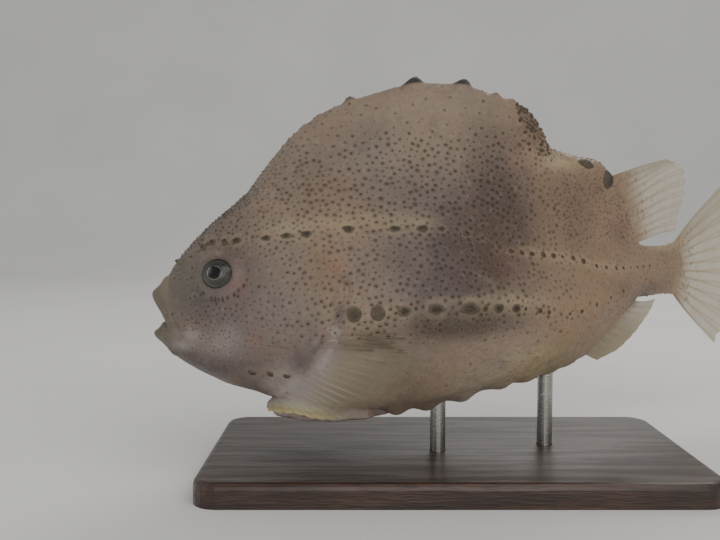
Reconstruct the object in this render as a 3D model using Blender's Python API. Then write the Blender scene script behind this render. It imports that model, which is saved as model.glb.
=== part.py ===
"""A lumpfish, also called lumpsucker, as a still, life-size model on a plain display stand.

Metres, +Z up. The head points to -X, and the fish's left side faces -Y. The tail swings round towards +Y.
Run it with: blender --background --python part.py
"""

import math

import bmesh
import bpy
import numpy as np
from mathutils import Matrix, Vector

# Driving sizes. A place on the fish is given as (along, out, up), each as a share of LENGTH:
# along the bent midline from the snout, out from the midline, and up from the level of the snout.
LENGTH = 0.340
SNOUT_X, SNOUT_Y, SNOUT_Z = -0.150, -0.022, 0.092
BODY_START, BODY_END = 0.014, 0.975
GAP = 0.0003
LEFT, RIGHT = 1, -1

# The midline heads a little away from the viewer, swings much further round towards the tail,
# and the tail fin flicks part of the way back.
HEADING_NOSE, HEADING_TAIL, SWING_FROM = 5.0, 56.0, 0.38
FLICK, FLICK_FROM, FLICK_OVER = 24.0, 0.86, 0.24

# Outlines of the body, as (along, value) pairs. Each cross-section runs through these seven points.
TOP_UP = (
    (0.014, 0.024), (0.030, 0.048), (0.058, 0.084), (0.083, 0.109), (0.114, 0.136), (0.140, 0.159),
    (0.168, 0.198), (0.189, 0.225), (0.213, 0.249), (0.240, 0.269), (0.282, 0.291), (0.328, 0.306),
    (0.373, 0.318), (0.410, 0.322), (0.463, 0.319), (0.502, 0.308), (0.540, 0.297), (0.562, 0.283),
    (0.580, 0.264), (0.592, 0.244), (0.601, 0.230), (0.642, 0.219), (0.689, 0.207), (0.715, 0.195),
    (0.735, 0.175), (0.765, 0.132), (0.787, 0.096), (0.810, 0.078), (0.850, 0.072), (0.914, 0.071),
    (0.975, 0.078),
)
EDGE_OUT = (
    (0.014, 0.014), (0.05, 0.034), (0.10, 0.050), (0.14, 0.046), (0.18, 0.030), (0.24, 0.018), (0.40, 0.015),
    (0.55, 0.012), (0.60, 0.013), (0.65, 0.018), (0.71, 0.013), (0.76, 0.008), (0.80, 0.008), (0.90, 0.007),
    (1.00, 0.005),
)
EDGE_DROP = (
    (0.014, 0.004), (0.10, 0.010), (0.20, 0.016), (0.60, 0.014), (0.72, 0.010), (0.80, 0.007), (1.0, 0.006),
)
BACK_UP = (
    (0.014, 0.011), (0.05, 0.064), (0.10, 0.115), (0.14, 0.140), (0.18, 0.172), (0.24, 0.190), (0.35, 0.200),
    (0.50, 0.198), (0.60, 0.180), (0.68, 0.165), (0.72, 0.150), (0.76, 0.105), (0.80, 0.068), (0.90, 0.062),
    (1.00, 0.064),
)
BACK_OUT = (
    (0.014, 0.022), (0.05, 0.050), (0.10, 0.072), (0.14, 0.072), (0.18, 0.064), (0.24, 0.056), (0.35, 0.052),
    (0.50, 0.044), (0.60, 0.036), (0.68, 0.025), (0.74, 0.015), (0.80, 0.012), (0.90, 0.011), (1.00, 0.008),
)
UPPER_UP = (
    (0.014, 0.000), (0.05, 0.045), (0.10, 0.088), (0.14, 0.093), (0.20, 0.100), (0.30, 0.106), (0.40, 0.106),
    (0.46, 0.096), (0.50, 0.082), (0.56, 0.069), (0.60, 0.062), (0.65, 0.051), (0.70, 0.044), (0.80, 0.041),
    (0.90, 0.043), (1.00, 0.045),
)
UPPER_OUT = (
    (0.014, 0.031), (0.05, 0.060), (0.10, 0.084), (0.14, 0.092), (0.20, 0.101), (0.30, 0.106), (0.40, 0.098),
    (0.50, 0.084), (0.60, 0.066), (0.70, 0.045), (0.76, 0.032), (0.80, 0.026), (0.90, 0.020), (1.00, 0.011),
)
MIDDLE_UP = (
    (0.014, -0.018), (0.05, -0.012), (0.10, -0.010), (0.20, -0.010), (0.30, -0.004), (0.40, 0.000),
    (0.50, -0.003), (0.58, -0.016), (0.64, -0.002), (0.70, 0.010), (0.80, 0.022), (0.90, 0.026),
    (1.00, 0.028),
)
MIDDLE_OUT = (
    (0.014, 0.036), (0.05, 0.070), (0.10, 0.104), (0.15, 0.128), (0.20, 0.146), (0.26, 0.158), (0.32, 0.162),
    (0.40, 0.152), (0.50, 0.130), (0.60, 0.100), (0.70, 0.062), (0.76, 0.042), (0.80, 0.032), (0.90, 0.023),
    (1.00, 0.012),
)
LOWER_UP = (
    (0.014, -0.040), (0.05, -0.074), (0.10, -0.097), (0.15, -0.113), (0.20, -0.125), (0.30, -0.137),
    (0.38, -0.135), (0.45, -0.122), (0.50, -0.111), (0.55, -0.103), (0.60, -0.092), (0.66, -0.070),
    (0.70, -0.046), (0.75, -0.020), (0.80, -0.001), (0.90, 0.004), (1.00, 0.008),
)
LOWER_OUT = (
    (0.014, 0.026), (0.05, 0.044), (0.10, 0.066), (0.15, 0.080), (0.20, 0.092), (0.30, 0.106), (0.40, 0.100),
    (0.50, 0.082), (0.60, 0.058), (0.70, 0.034), (0.80, 0.022), (0.90, 0.015), (1.00, 0.008),
)
BELLY_UP = (
    (0.014, -0.052), (0.030, -0.080), (0.050, -0.097), (0.090, -0.118), (0.114, -0.129), (0.146, -0.138),
    (0.167, -0.146), (0.220, -0.158), (0.281, -0.166), (0.340, -0.168), (0.400, -0.162), (0.450, -0.155),
    (0.500, -0.143), (0.550, -0.134), (0.600, -0.124), (0.633, -0.115), (0.655, -0.105), (0.680, -0.090),
    (0.710, -0.062), (0.736, -0.042), (0.763, -0.026), (0.800, -0.016), (0.900, -0.018), (0.975, -0.026),
)
# How far round the half-section, from 0 at the top to 1 at the belly, each of those points sits.
ROUND = (0.0, 0.07, 0.30, 0.42, 0.62, 0.85, 1.0)


def smooth_curve(knots):
    """A smooth curve through (place, value) pairs that doesn't overshoot them."""
    x, y = np.array(knots, float).T
    step, slope = np.diff(x), np.diff(y) / np.diff(x)
    tangent = np.zeros(len(x))
    tangent[0], tangent[-1] = slope[0], slope[-1]
    for i in range(1, len(x) - 1):
        if slope[i - 1] * slope[i] > 0:
            before, after = 2 * step[i] + step[i - 1], step[i] + 2 * step[i - 1]
            tangent[i] = (before + after) / (before / slope[i - 1] + after / slope[i])

    def at(place):
        place = np.clip(np.asarray(place, float), x[0], x[-1])
        i = np.clip(np.searchsorted(x, place, side="right") - 1, 0, len(x) - 2)
        h = step[i]
        t = (place - x[i]) / h
        return (
            (1 + 2 * t) * (1 - t) ** 2 * y[i]
            + t * (1 - t) ** 2 * h * tangent[i]
            + t * t * (3 - 2 * t) * y[i + 1]
            + t * t * (t - 1) * h * tangent[i + 1]
        )

    return at


top_up, edge_out, edge_drop = smooth_curve(TOP_UP), smooth_curve(EDGE_OUT), smooth_curve(EDGE_DROP)
SECTION_OUT = [smooth_curve(k) for k in (BACK_OUT, UPPER_OUT, MIDDLE_OUT, LOWER_OUT)]
SECTION_UP = [smooth_curve(k) for k in (BACK_UP, UPPER_UP, MIDDLE_UP, LOWER_UP, BELLY_UP)]
upper_up, middle_up, lower_up, belly_up = SECTION_UP[1:]


def section(along):
    """Two curves, out and up, over the way round the half-section at that place along the body."""
    outs = [0.0, float(edge_out(along)), *(float(c(along)) for c in SECTION_OUT), 0.0]
    top = float(top_up(along))
    ups = [top, top - float(edge_drop(along)), *(float(c(along)) for c in SECTION_UP)]
    return smooth_curve(tuple(zip(ROUND, outs))), smooth_curve(tuple(zip(ROUND, ups)))


def heading(along):
    """Which way the midline points at that place, in radians round +Z from +X."""
    swing = np.clip((np.asarray(along) - SWING_FROM) / (1 - SWING_FROM), 0, 1)
    flick = np.clip((np.asarray(along) - FLICK_FROM) / FLICK_OVER, 0, 1)
    turn = HEADING_NOSE + (HEADING_TAIL - HEADING_NOSE) * swing * swing * (3 - 2 * swing)
    return np.radians(turn - FLICK * flick * flick * (3 - 2 * flick))


STEPS = np.linspace(-0.2, 1.6, 1801)
MIDLINE_X = np.concatenate([[0.0], np.cumsum(np.cos(heading(STEPS[:-1])) * np.diff(STEPS))])
MIDLINE_Y = np.concatenate([[0.0], np.cumsum(np.sin(heading(STEPS[:-1])) * np.diff(STEPS))])
MIDLINE_X -= np.interp(0.0, STEPS, MIDLINE_X)
MIDLINE_Y -= np.interp(0.0, STEPS, MIDLINE_Y)


def place(along, out, up):
    """The point in the row frame of a place on the fish. Out is positive on the left side."""
    turn = heading(along)
    x = SNOUT_X + LENGTH * (np.interp(along, STEPS, MIDLINE_X) + np.sin(turn) * out)
    y = SNOUT_Y + LENGTH * (np.interp(along, STEPS, MIDLINE_Y) - np.cos(turn) * out)
    return Vector((float(x), float(y), float(SNOUT_Z + LENGTH * up)))


def way_at(along, up):
    """How far round the half-section that height is, on the flank."""
    rise = section(along)[1]
    ways = np.linspace(0, 1, 201)
    return float(np.interp(-up, -rise(ways), ways))


# How far to either side, along the body, the skin's slope is read.
NEAR = 0.006


def on_skin(along, way, side):
    """The point on the skin there, and three unit directions: towards the tail, round the body, outwards."""
    def point(a, w):
        out, rise = section(a)
        return place(a, side * float(out(abs(w))) * (1 if w >= 0 else -1), float(rise(abs(w))))

    here = point(along, way)
    tailward = point(min(along + NEAR, BODY_END), way) - point(max(along - NEAR, BODY_START), way)
    tailward.normalize()
    roundward = point(along, min(way + 2 * NEAR, 1.0)) - point(along, way - 2 * NEAR)
    roundward = (roundward - tailward * roundward.dot(tailward)).normalized()
    outward = tailward.cross(roundward)
    core = place(along, 0, 0.3 * float(top_up(along)))
    if outward.dot(here - core) < 0:
        outward = -outward
    return here, tailward, roundward, outward


# The rows of plates, as (along, half length, half height), the sizes in millimetres.
UPPER_ROW = (
    (0.080, 0.9, 1.9), (0.094, 1.4, 1.2), (0.111, 1.5, 1.4), (0.128, 2.1, 1.5), (0.168, 2.2, 1.3),
    (0.195, 2.3, 1.2), (0.223, 2.4, 1.5), (0.280, 2.9, 1.7), (0.345, 2.6, 1.4), (0.384, 2.6, 1.7),
    (0.410, 1.6, 1.4), (0.445, 1.6, 1.4), (0.466, 0.9, 0.9), (0.490, 1.2, 1.2), (0.506, 1.4, 1.1),
    (0.521, 1.5, 1.3), (0.536, 1.5, 1.3), (0.554, 1.5, 1.4), (0.570, 1.5, 1.3), (0.585, 0.8, 0.8),
    (0.603, 1.3, 1.3), (0.621, 1.5, 1.5), (0.646, 1.1, 1.1), (0.667, 1.1, 1.1), (0.691, 1.0, 1.1),
    (0.710, 1.3, 1.1), (0.733, 0.8, 0.8), (0.757, 0.9, 0.8), (0.780, 0.8, 0.8), (0.804, 0.8, 0.7),
    (0.835, 0.7, 0.6), (0.870, 0.6, 0.5),
)
MIDDLE_ROW = (
    (0.284, 3.0, 3.0), (0.315, 3.0, 3.0), (0.350, 2.4, 2.0), (0.394, 3.9, 2.4), (0.439, 4.1, 2.5),
    (0.459, 1.2, 1.3), (0.476, 2.3, 2.1), (0.499, 2.1, 1.9), (0.512, 0.8, 0.9), (0.532, 1.3, 1.2),
    (0.545, 1.0, 1.0), (0.577, 0.8, 0.7), (0.597, 1.1, 0.8), (0.624, 0.8, 1.2), (0.655, 0.9, 0.9),
    (0.690, 0.8, 0.8), (0.730, 0.7, 0.7), (0.775, 0.6, 0.6), (0.825, 0.6, 0.5),
)
PLATE_GROW, PLATE_RISE = 0.00112, 0.40
LOWER_ROW = (0.352, 0.397, 0.448, 0.506, 0.548, 0.586, 0.620, 0.650)
LOWER_ROW_DROP = 0.015
CHEEK_ROW, CHEEK_UP = (0.148, 0.173, 0.196), -0.091

# The mounds on the edge of the crest, as (along, half length and height in millimetres), the small plates
# behind them, and the scutes on the hump, as (along, way round, half length, half height, height).
CREST_ROW = (
    (0.221, 2.0, 0.7), (0.243, 2.0, 0.7), (0.289, 3.4, 1.7), (0.383, 5.2, 3.7), (0.458, 5.0, 3.5),
    (0.511, 2.4, 1.8), (0.537, 2.4, 1.5),
)
CREST_REAR_ROW, CREST_REAR_SIZE = (0.550, 0.559, 0.568, 0.576, 0.584, 0.592), 0.0014
HUMP_SCUTES = ((0.662, 0.056, 4.0, 2.5, 1.1), (0.701, 0.145, 3.0, 4.2, 1.5))

# The eyes, a little longer than high, and the nose tubes.
EYE_AT, EYE_RADIUS, EYE_SHOWS, EYE_LONG = (0.1015, 0.045), 0.0086, 0.0073, 1.12
LID_RADIUS = 0.0015
NOSE_TUBE_AT, NOSE_TUBE_RADII = (0.0445, 0.0585), (0.0034, 0.0018)

# The fleshy base of a pectoral fin, from the knob at its top down to the belly, as (along, up), and its radii.
FIN_BASE = (
    (0.262, -0.026), (0.260, -0.040), (0.250, -0.060), (0.236, -0.082), (0.216, -0.104), (0.194, -0.122),
    (0.178, -0.133),
)
FIN_BASE_RADII = (0.0018, 0.0034, 0.0052, 0.0064, 0.0068, 0.0058, 0.0030)

# Each lip's border with the face and its foremost line, and the mouth line between the lips,
# from the corner to the middle of the front, as (along, out, up).
UPPER_LIP = (
    ((0.046, 0.061, -0.044), (0.040, 0.056, -0.026), (0.033, 0.048, -0.008), (0.027, 0.036, 0.010),
     (0.023, 0.018, 0.029), (0.022, 0, 0.035)),
    ((0.043, 0.064, -0.049), (0.033, 0.058, -0.034), (0.022, 0.048, -0.018), (0.010, 0.034, -0.003),
     (0.002, 0.017, 0.007), (-0.001, 0, 0.010)),
)
LOWER_LIP = (
    ((0.045, 0.057, -0.056), (0.042, 0.047, -0.063), (0.038, 0.035, -0.069), (0.033, 0.022, -0.075),
     (0.029, 0.011, -0.079), (0.028, 0, -0.080)),
    ((0.044, 0.061, -0.052), (0.032, 0.051, -0.050), (0.020, 0.040, -0.049), (0.010, 0.028, -0.049),
     (0.003, 0.015, -0.049), (0.000, 0, -0.049)),
)
MOUTH_LINE = (
    (0.044, 0.060, -0.050), (0.035, 0.050, -0.041), (0.027, 0.037, -0.034), (0.021, 0.019, -0.029),
    (0.019, 0, -0.028),
)
LIP_PARTING, LIP_DEPTH = 0.0020, 0.007
MOUTH_CORE, MOUTH_DEPTH, MOUTH_OPEN = (0.085, 0, -0.036), 0.0052, 0.0032
# The lobe behind the corner of the mouth and the fold under it: place, radius, stretch and height.
CORNER_FOLDS = (((0.065, -0.042), 0.0034, 1.47, 0.0016), ((0.050, -0.060), 0.0021, 2.2, 0.0016))

# The sucking disc: its middle along the body, and the turned outline of its cup as (radius, up).
DISC_AT, DISC_LOBES, DISC_CLEAR = 0.262, 12, -0.180
DISC_OUTLINE = (
    (0.070, -0.140), (0.084, -0.156), (0.080, -0.167), (0.066, -0.169), (0.052, -0.163), (0.026, -0.159),
)
DISC_FLOOR = -0.158


def remove_objects():
    """Empties the scene."""
    for obj in list(bpy.data.objects):
        bpy.data.objects.remove(obj, do_unlink=True)


def object_from(shell, name, collection=None):
    """An object from a closed working mesh, with its faces turned outwards."""
    bmesh.ops.recalc_face_normals(shell, faces=shell.faces)
    mesh = bpy.data.meshes.new(name)
    shell.to_mesh(mesh)
    shell.free()
    obj = bpy.data.objects.new(name, mesh)
    (collection or bpy.context.scene.collection).objects.link(obj)
    return obj


def new_object(name, points, faces, collection=None):
    """An object from points and the faces between them."""
    shell = bmesh.new()
    verts = [shell.verts.new(point) for point in points]
    for face in faces:
        shell.faces.new([verts[i] for i in face])
    return object_from(shell, name, collection)


def loft(name, rings, collection=None, tip=None, tail=None):
    """A closed shape through rings of points. An end closes on a point where one is given, else on a flat."""
    points, faces, count = [], [], len(rings[0])
    for ring in rings:
        points += list(ring)
    for i in range(len(rings) - 1):
        for j in range(count):
            k = (j + 1) % count
            faces.append((i * count + j, i * count + k, (i + 1) * count + k))
            faces.append((i * count + j, (i + 1) * count + k, (i + 1) * count + j))
    for end, start in ((tip, 0), (tail, (len(rings) - 1) * count)):
        if end is None:
            faces.append(tuple(range(start, start + count)))
        else:
            points.append(end)
            faces += [(start + j, start + (j + 1) % count, len(points) - 1) for j in range(count)]
    return new_object(name, points, faces, collection)


def cutter_collection():
    """The collection that holds the cutting shapes, which aren't rendered."""
    found = bpy.data.collections.get("cutters")
    if found is None:
        found = bpy.data.collections.new("cutters")
        bpy.context.scene.collection.children.link(found)
    return found


def as_cutter(obj):
    """Marks a shape as a cutting shape."""
    obj.hide_render = True
    obj.display_type = "WIRE"
    return obj


def keep_largest(obj):
    """Keeps the largest closed surface of a mesh and drops the slivers that a cut can leave."""
    shell = bmesh.new()
    shell.from_mesh(obj.data)
    bmesh.ops.triangulate(shell, faces=shell.faces)
    unseen, parts = set(shell.verts), []
    while unseen:
        stack, part = [unseen.pop()], []
        while stack:
            vert = stack.pop()
            part.append(vert)
            for edge in vert.link_edges:
                other = edge.other_vert(vert)
                if other in unseen:
                    unseen.remove(other)
                    stack.append(other)
        parts.append(part)
    parts.sort(key=len)
    bmesh.ops.delete(shell, geom=[v for part in parts[:-1] for v in part], context="VERTS")
    shell.to_mesh(obj.data)
    shell.free()


def boolean(obj, operation, other):
    """Applies one Boolean operation, with an object or a collection of them."""
    mod = obj.modifiers.new("join", "BOOLEAN")
    mod.operation = operation
    mod.solver = "MANIFOLD"
    if isinstance(other, bpy.types.Collection):
        mod.operand_type = "COLLECTION"
        mod.collection = other
    else:
        mod.object = other
    bpy.context.view_layer.update()
    graph = bpy.context.evaluated_depsgraph_get()
    fresh = bpy.data.meshes.new_from_object(obj.evaluated_get(graph))
    obj.modifiers.clear()
    old, obj.data = obj.data, fresh
    bpy.data.meshes.remove(old)


def copy_of(obj, name):
    """A copy of an object under another name."""
    twin = obj.copy()
    twin.data = obj.data.copy()
    twin.name = name
    twin.data.name = name
    bpy.context.scene.collection.objects.link(twin)
    return twin


def cut(obj, *cutters):
    """Takes cutting shapes away from an object."""
    for cutter in cutters:
        boolean(obj, "DIFFERENCE", cutter)
    keep_largest(obj)


def body_ring(along, half=16, scale=1.0):
    """The points round the whole section at one place, down the left side and back up the right."""
    out, rise = section(max(along, BODY_START))
    ways = np.linspace(0, 1, half + 1)
    outs, ups = scale * out(ways), rise(ways)
    middle = 0.5 * (ups[0] + ups[-1])
    ups = middle + scale * (ups - middle)
    ring = [place(along, o, u) for o, u in zip(outs, ups)]
    return ring + [place(along, -o, u) for o, u in zip(outs[-2:0:-1], ups[-2:0:-1])]


def whole_body():
    """The body as one loft from the snout to the root of the tail fin."""
    stations = [0.028, 0.040, 0.056, 0.076, 0.098, 0.120, 0.140, 0.158, 0.176, 0.196]
    stations += list(np.linspace(0.222, 0.525, 11)) + list(np.linspace(0.547, 0.603, 5))
    stations += list(np.linspace(0.628, 0.810, 9)) + list(np.linspace(0.845, BODY_END, 4))
    rings = [body_ring(a, scale=s) for a, s in ((0.0200, 0.50), (0.0215, 0.82), (0.0240, 0.95))]
    rings += [body_ring(a) for a in stations]
    rings.append(body_ring(BODY_END + 0.006, scale=0.78))
    return loft("body", rings)


def knob(collection, along, way, side, radius, height, sides=8, stretch=1.0, lean=0.0):
    """A low rounded plate or tubercle that sits on the skin."""
    here, tailward, roundward, outward = on_skin(along, way, side)
    profile = ((1.0, -0.5), (0.82, 0.34), (0.44, 0.84)) if sides > 6 else ((1.0, -0.5), (0.55, 0.62))
    rings = []
    for reach, lift in profile:
        ring = []
        for j in range(sides):
            a = 2 * math.pi * (j + 0.5) / sides
            flat = tailward * math.cos(a) * stretch + roundward * math.sin(a)
            rise = (outward + tailward * lean * max(lift, 0)) * height * lift
            ring.append(here + flat * radius * reach + rise)
        rings.append(ring)
    return loft("knob", rings, collection, tail=here + (outward + tailward * lean) * height)


def tube(name, points, radii, collection, fineness=2):
    """A round rod along a smooth path through the points, made as a curve and turned into a closed mesh."""
    path = spread(points, 2 * len(points))
    sizes = np.interp(np.linspace(0, 1, len(path)), np.linspace(0, 1, len(radii)), radii)
    guide = bpy.data.curves.new(name, "CURVE")
    guide.dimensions = "3D"
    guide.bevel_depth = 1.0
    guide.bevel_resolution = fineness
    guide.use_fill_caps = True
    spline = guide.splines.new("POLY")
    spline.points.add(len(path) - 1)
    for point, here, radius in zip(spline.points, path, sizes):
        point.co = (*here, 1.0)
        point.radius = radius
    line = bpy.data.objects.new(name + "_line", guide)
    collection.objects.link(line)
    bpy.context.view_layer.update()
    mesh = bpy.data.meshes.new_from_object(line.evaluated_get(bpy.context.evaluated_depsgraph_get()))
    bpy.data.objects.remove(line)
    shell = bmesh.new()
    shell.from_mesh(mesh)
    bpy.data.meshes.remove(mesh)
    bmesh.ops.remove_doubles(shell, verts=shell.verts, dist=0.00001)
    return object_from(shell, name, collection)


def curve(knots):
    """A smooth curve through points of any size, over 0 to 1 by the length of its chords."""
    points = np.array(knots, float)
    reach = np.concatenate([[0], np.cumsum(np.linalg.norm(np.diff(points, axis=0), axis=1))])
    parts = [smooth_curve(tuple(zip(reach / reach[-1], column))) for column in points.T]
    return lambda share: np.array([float(part(share)) for part in parts])


def spread(points, count):
    """Evenly spread points on a smooth curve through these."""
    at = curve([tuple(p) for p in points])
    return [Vector(at(share)) for share in np.linspace(0, 1, count)]


def slab(name, path, far, wide):
    """A cutting shape that spans the body from side to side between a path and a far path of places."""
    rings = []
    for (a, u), (b, v) in zip(path, far):
        rings.append([place(a, -wide, u), place(a, wide, u), place(b, wide, v), place(b, -wide, v)])
    return as_cutter(loft(name, rings, cutter_collection()))


def offset_path(path, by):
    """A path of places shifted sideways by a distance, to its left as it runs."""
    points = np.array(path, float)
    ahead = np.gradient(points, axis=0)
    ahead /= np.linalg.norm(ahead, axis=1)[:, None]
    return [tuple(p) for p in points + np.stack([-ahead[:, 1], ahead[:, 0]], 1) * by]


# Where the body is parted: the rear edge of the gill cover, the foot of the crest, and the tail stalk.
GILL_EDGE = (
    (0.150, 0.360), (0.150, 0.168), (0.172, 0.122), (0.215, 0.082), (0.255, 0.055), (0.273, 0.036),
    (0.272, 0.015), (0.264, -0.003), (0.252, -0.025), (0.237, -0.046), (0.213, -0.079), (0.189, -0.106),
    (0.169, -0.121), (0.158, -0.150), (0.155, -0.240),
)
CREST_FOOT = (
    (0.154, 0.164), (0.180, 0.181), (0.215, 0.193), (0.260, 0.201), (0.320, 0.206), (0.390, 0.206),
    (0.460, 0.203), (0.520, 0.200), (0.565, 0.202), (0.590, 0.212), (0.604, 0.228), (0.609, 0.245),
)
TAIL_AT = 0.802


def plate_rows(collection, side):
    """The three rows of bony plates on one flank, and the blunt bumps along the cheek."""
    for row, middle in ((UPPER_ROW, upper_up), (MIDDLE_ROW, middle_up)):
        for along, half_long, half_high in row:
            size = PLATE_GROW * half_high
            sides = 8 if half_high > 2 else 6 if half_high > 1 else 5
            way = way_at(along, float(middle(along)))
            knob(collection, along, way, side, size, PLATE_RISE * size, sides, stretch=half_long / half_high)
    for along in LOWER_ROW:
        way = way_at(along, float(lower_up(along)) - LOWER_ROW_DROP)
        knob(collection, along, way, side, 0.0060, 0.0034 - 0.0080 * (along - 0.40), sides=7, stretch=1.2)
    for along in CHEEK_ROW:
        knob(collection, along, way_at(along, CHEEK_UP), side, 0.0018, 0.0006, sides=6, stretch=1.2)
    for along, way, half_long, half_high, height in HUMP_SCUTES:
        knob(collection, along, way, side, 0.001 * half_high, 0.001 * height, stretch=half_long / half_high)


def top_plates(collection):
    """The mounds and the small plates along the edge of the crest."""
    for along, half, height in CREST_ROW:
        knob(collection, along, 0.0, LEFT, 0.00085 * half, 0.001 * height, stretch=1.18, lean=0.3)
    for along in CREST_REAR_ROW:
        knob(collection, along, 0.0, LEFT, CREST_REAR_SIZE, CREST_REAR_SIZE * 1.3, sides=6, lean=0.6)


def gill_flap(collection, side):
    """The fleshy rear edge of the gill cover."""
    spots = [on_skin(a - 0.012, way_at(a - 0.012, u), side) for a, u in GILL_EDGE[4:12]]
    path = [here - outward * 0.0020 for here, tailward, roundward, outward in spots]
    tube("gill_flap", path, (0.0022, 0.0034, 0.0034, 0.0030), collection, fineness=1)


def eyelid(collection, side):
    """The raised ring of skin round an eye."""
    bpy.ops.mesh.primitive_torus_add(
        major_segments=16, minor_segments=5, major_radius=EYE_SHOWS, minor_radius=LID_RADIUS)
    ring = bpy.context.object
    ring.name = "eyelid"
    turn_mesh(ring, frame_at(EYE_AT, side, -0.25 * LID_RADIUS) @ Matrix.Diagonal((EYE_LONG, 1.0, 1.0, 1.0)))
    for holder in list(ring.users_collection):
        holder.objects.unlink(ring)
    collection.objects.link(ring)


def nose_tube(collection, side):
    """The low tube of a nostril."""
    here, tailward, roundward, outward = on_skin(NOSE_TUBE_AT[0], way_at(*NOSE_TUBE_AT), side)
    tube("nose_tube", [here - outward * 0.003, here + outward * 0.0010], NOSE_TUBE_RADII, collection, fineness=1)


def fin_base(collection, side):
    """The fleshy base that carries a pectoral fin, and the folds at the corner of the mouth."""
    spots = [on_skin(along, way_at(along, up), side) for along, up in FIN_BASE]
    path = [here - outward * 0.72 * size for (here, _, _, outward), size in zip(spots, FIN_BASE_RADII)]
    tube("fin_base", path, FIN_BASE_RADII, collection, fineness=1)
    for spot, radius, stretch, height in CORNER_FOLDS:
        knob(collection, spot[0], way_at(*spot), side, radius, height, stretch=stretch)


def lip(collection, name, border, front, lift):
    """One fleshy lip, from its border with the face over its foremost line to the mouth line."""
    line = [(along, out, up + lift) for along, out, up in MOUTH_LINE]
    core, rings = place(*MOUTH_CORE), []
    paths = [spread([place(*spot) for spot in both_sides(path)], 15) for path in (border, front, line)]
    for outer, foremost, inner in zip(*paths):
        middle = (outer + inner) / 2
        inward = Vector((core.x - middle.x, core.y - middle.y, 0)).normalized()
        rings.append([outer, (outer + foremost) / 2, foremost, (foremost + inner) / 2, inner, middle + inward * LIP_DEPTH])
    loft(name, rings, collection)


def lips(collection):
    """The upper and the lower lip."""
    lip(collection, "upper_lip", *UPPER_LIP, LIP_PARTING)
    lip(collection, "lower_lip", *LOWER_LIP, -LIP_PARTING)


def relief(collection):
    """All the raised forms that are fused with the body."""
    for side in (LEFT, RIGHT):
        plate_rows(collection, side)
        gill_flap(collection, side)
        eyelid(collection, side)
        nose_tube(collection, side)
        fin_base(collection, side)
    top_plates(collection)
    lips(collection)


def both_sides(half):
    """A path of places from the left side to the middle, and back along the right side."""
    return [*half, *((along, -out, up) for along, out, up in reversed(half[:-1]))]


def frame_at(spot, side, rise=0.0):
    """A matrix on the skin at (along, up), with axes towards the tail, round the body and outwards."""
    here, tailward, roundward, outward = on_skin(spot[0], way_at(*spot), side)
    axes = Matrix((tailward, roundward, outward)).transposed().to_4x4()
    return Matrix.Translation(here + outward * rise) @ axes


def turn_mesh(obj, matrix):
    """Moves an object's mesh by a matrix, and turns its faces outwards again where the matrix mirrors it."""
    obj.data.transform(matrix)
    if matrix.determinant() < 0:
        obj.data.flip_normals()


def ball(name, segments, rings, matrix, collection=None):
    """A closed ball of radius 1, which the matrix sizes, turns and sets in place."""
    shell = bmesh.new()
    bmesh.ops.create_uvsphere(shell, u_segments=segments, v_segments=rings, radius=1.0, matrix=matrix)
    return object_from(shell, name, collection)


def eye_matrix(side, radius):
    """The matrix of a ball of that radius in the eye's place, so that the eye shows as far as it should."""
    depth = math.sqrt(EYE_RADIUS ** 2 - EYE_SHOWS ** 2)
    return frame_at(EYE_AT, side, -depth) @ Matrix.Diagonal((EYE_LONG * radius, radius, radius, 1.0))


def mouth_groove():
    """The cutting shape for the mouth line, a thin wedge that runs round the front of the head."""
    core = place(*MOUTH_CORE)
    lift = Vector((0, 0, MOUTH_OPEN / 2))
    rings = []
    for spot in spread([place(*p) for p in both_sides(MOUTH_LINE)], 25):
        inward = Vector((core.x - spot.x, core.y - spot.y, 0)).normalized()
        outside = spot - inward * 0.0080
        rings.append([outside + lift, spot + inward * MOUTH_DEPTH, outside - lift])
    return as_cutter(loft("mouth_groove", rings, cutter_collection()))


def fin_surface(roots, tips, bow=0.0):
    """A function from (across the rays, out along a ray) to a point, for roots and tips given as places."""
    root, tip = curve(roots), curve(tips)

    def at(across, reach):
        a, b = root(across), tip(across)
        spot = a + (b - a) * reach
        if len(spot) == 2:
            spot = np.array([spot[0], 0.0, spot[1]])
            lift = np.array([-(b - a)[1], 0.0, (b - a)[0]])
        else:
            lift = np.array([0.0, np.linalg.norm(b - a), 0.0])
        return place(*(spot + lift * bow * math.sin(math.pi * min(max(reach, 0), 1))))

    return at


# The thinnest that a fin gets, and the length of a typical ray, by which a slot is longer than its fin.
FIN_THINNEST, RAY_LENGTH = 0.0006, 0.05


def fin_sheets(surface, rays, rows, sunk, root, tip, web, notch, grow):
    """The points of the two faces of a fin, ray by ray and from the root outwards."""
    columns, slack = 2 * rays - 1, grow / RAY_LENGTH
    front, back = [], []
    for c in range(columns):
        inside = c / (columns - 1)
        beyond = -1 if c == 0 else 1 if c == columns - 1 else 0
        is_ray = c % 2 == 0
        edge = 1.0 if is_ray else 1.0 - notch
        for r in range(rows + 1):
            reach = -sunk - slack if r == 0 else (r - 1) / (rows - 1) * (edge + slack)
            across = surface(min(inside + 0.02, 1), reach) - surface(max(inside - 0.02, 0), reach)
            along_ray = surface(inside, reach + 0.05) - surface(inside, reach - 0.05)
            normal = across.cross(along_ray).normalized()
            here = surface(inside, reach) + across.normalized() * grow * beyond
            thick = (root + (tip - root) * max(reach, 0)) * (1 if is_ray or grow else web)
            half = max(thick, FIN_THINNEST) / 2 + grow
            front.append(here + normal * half)
            back.append(here - normal * half)
    return front, back


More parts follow.
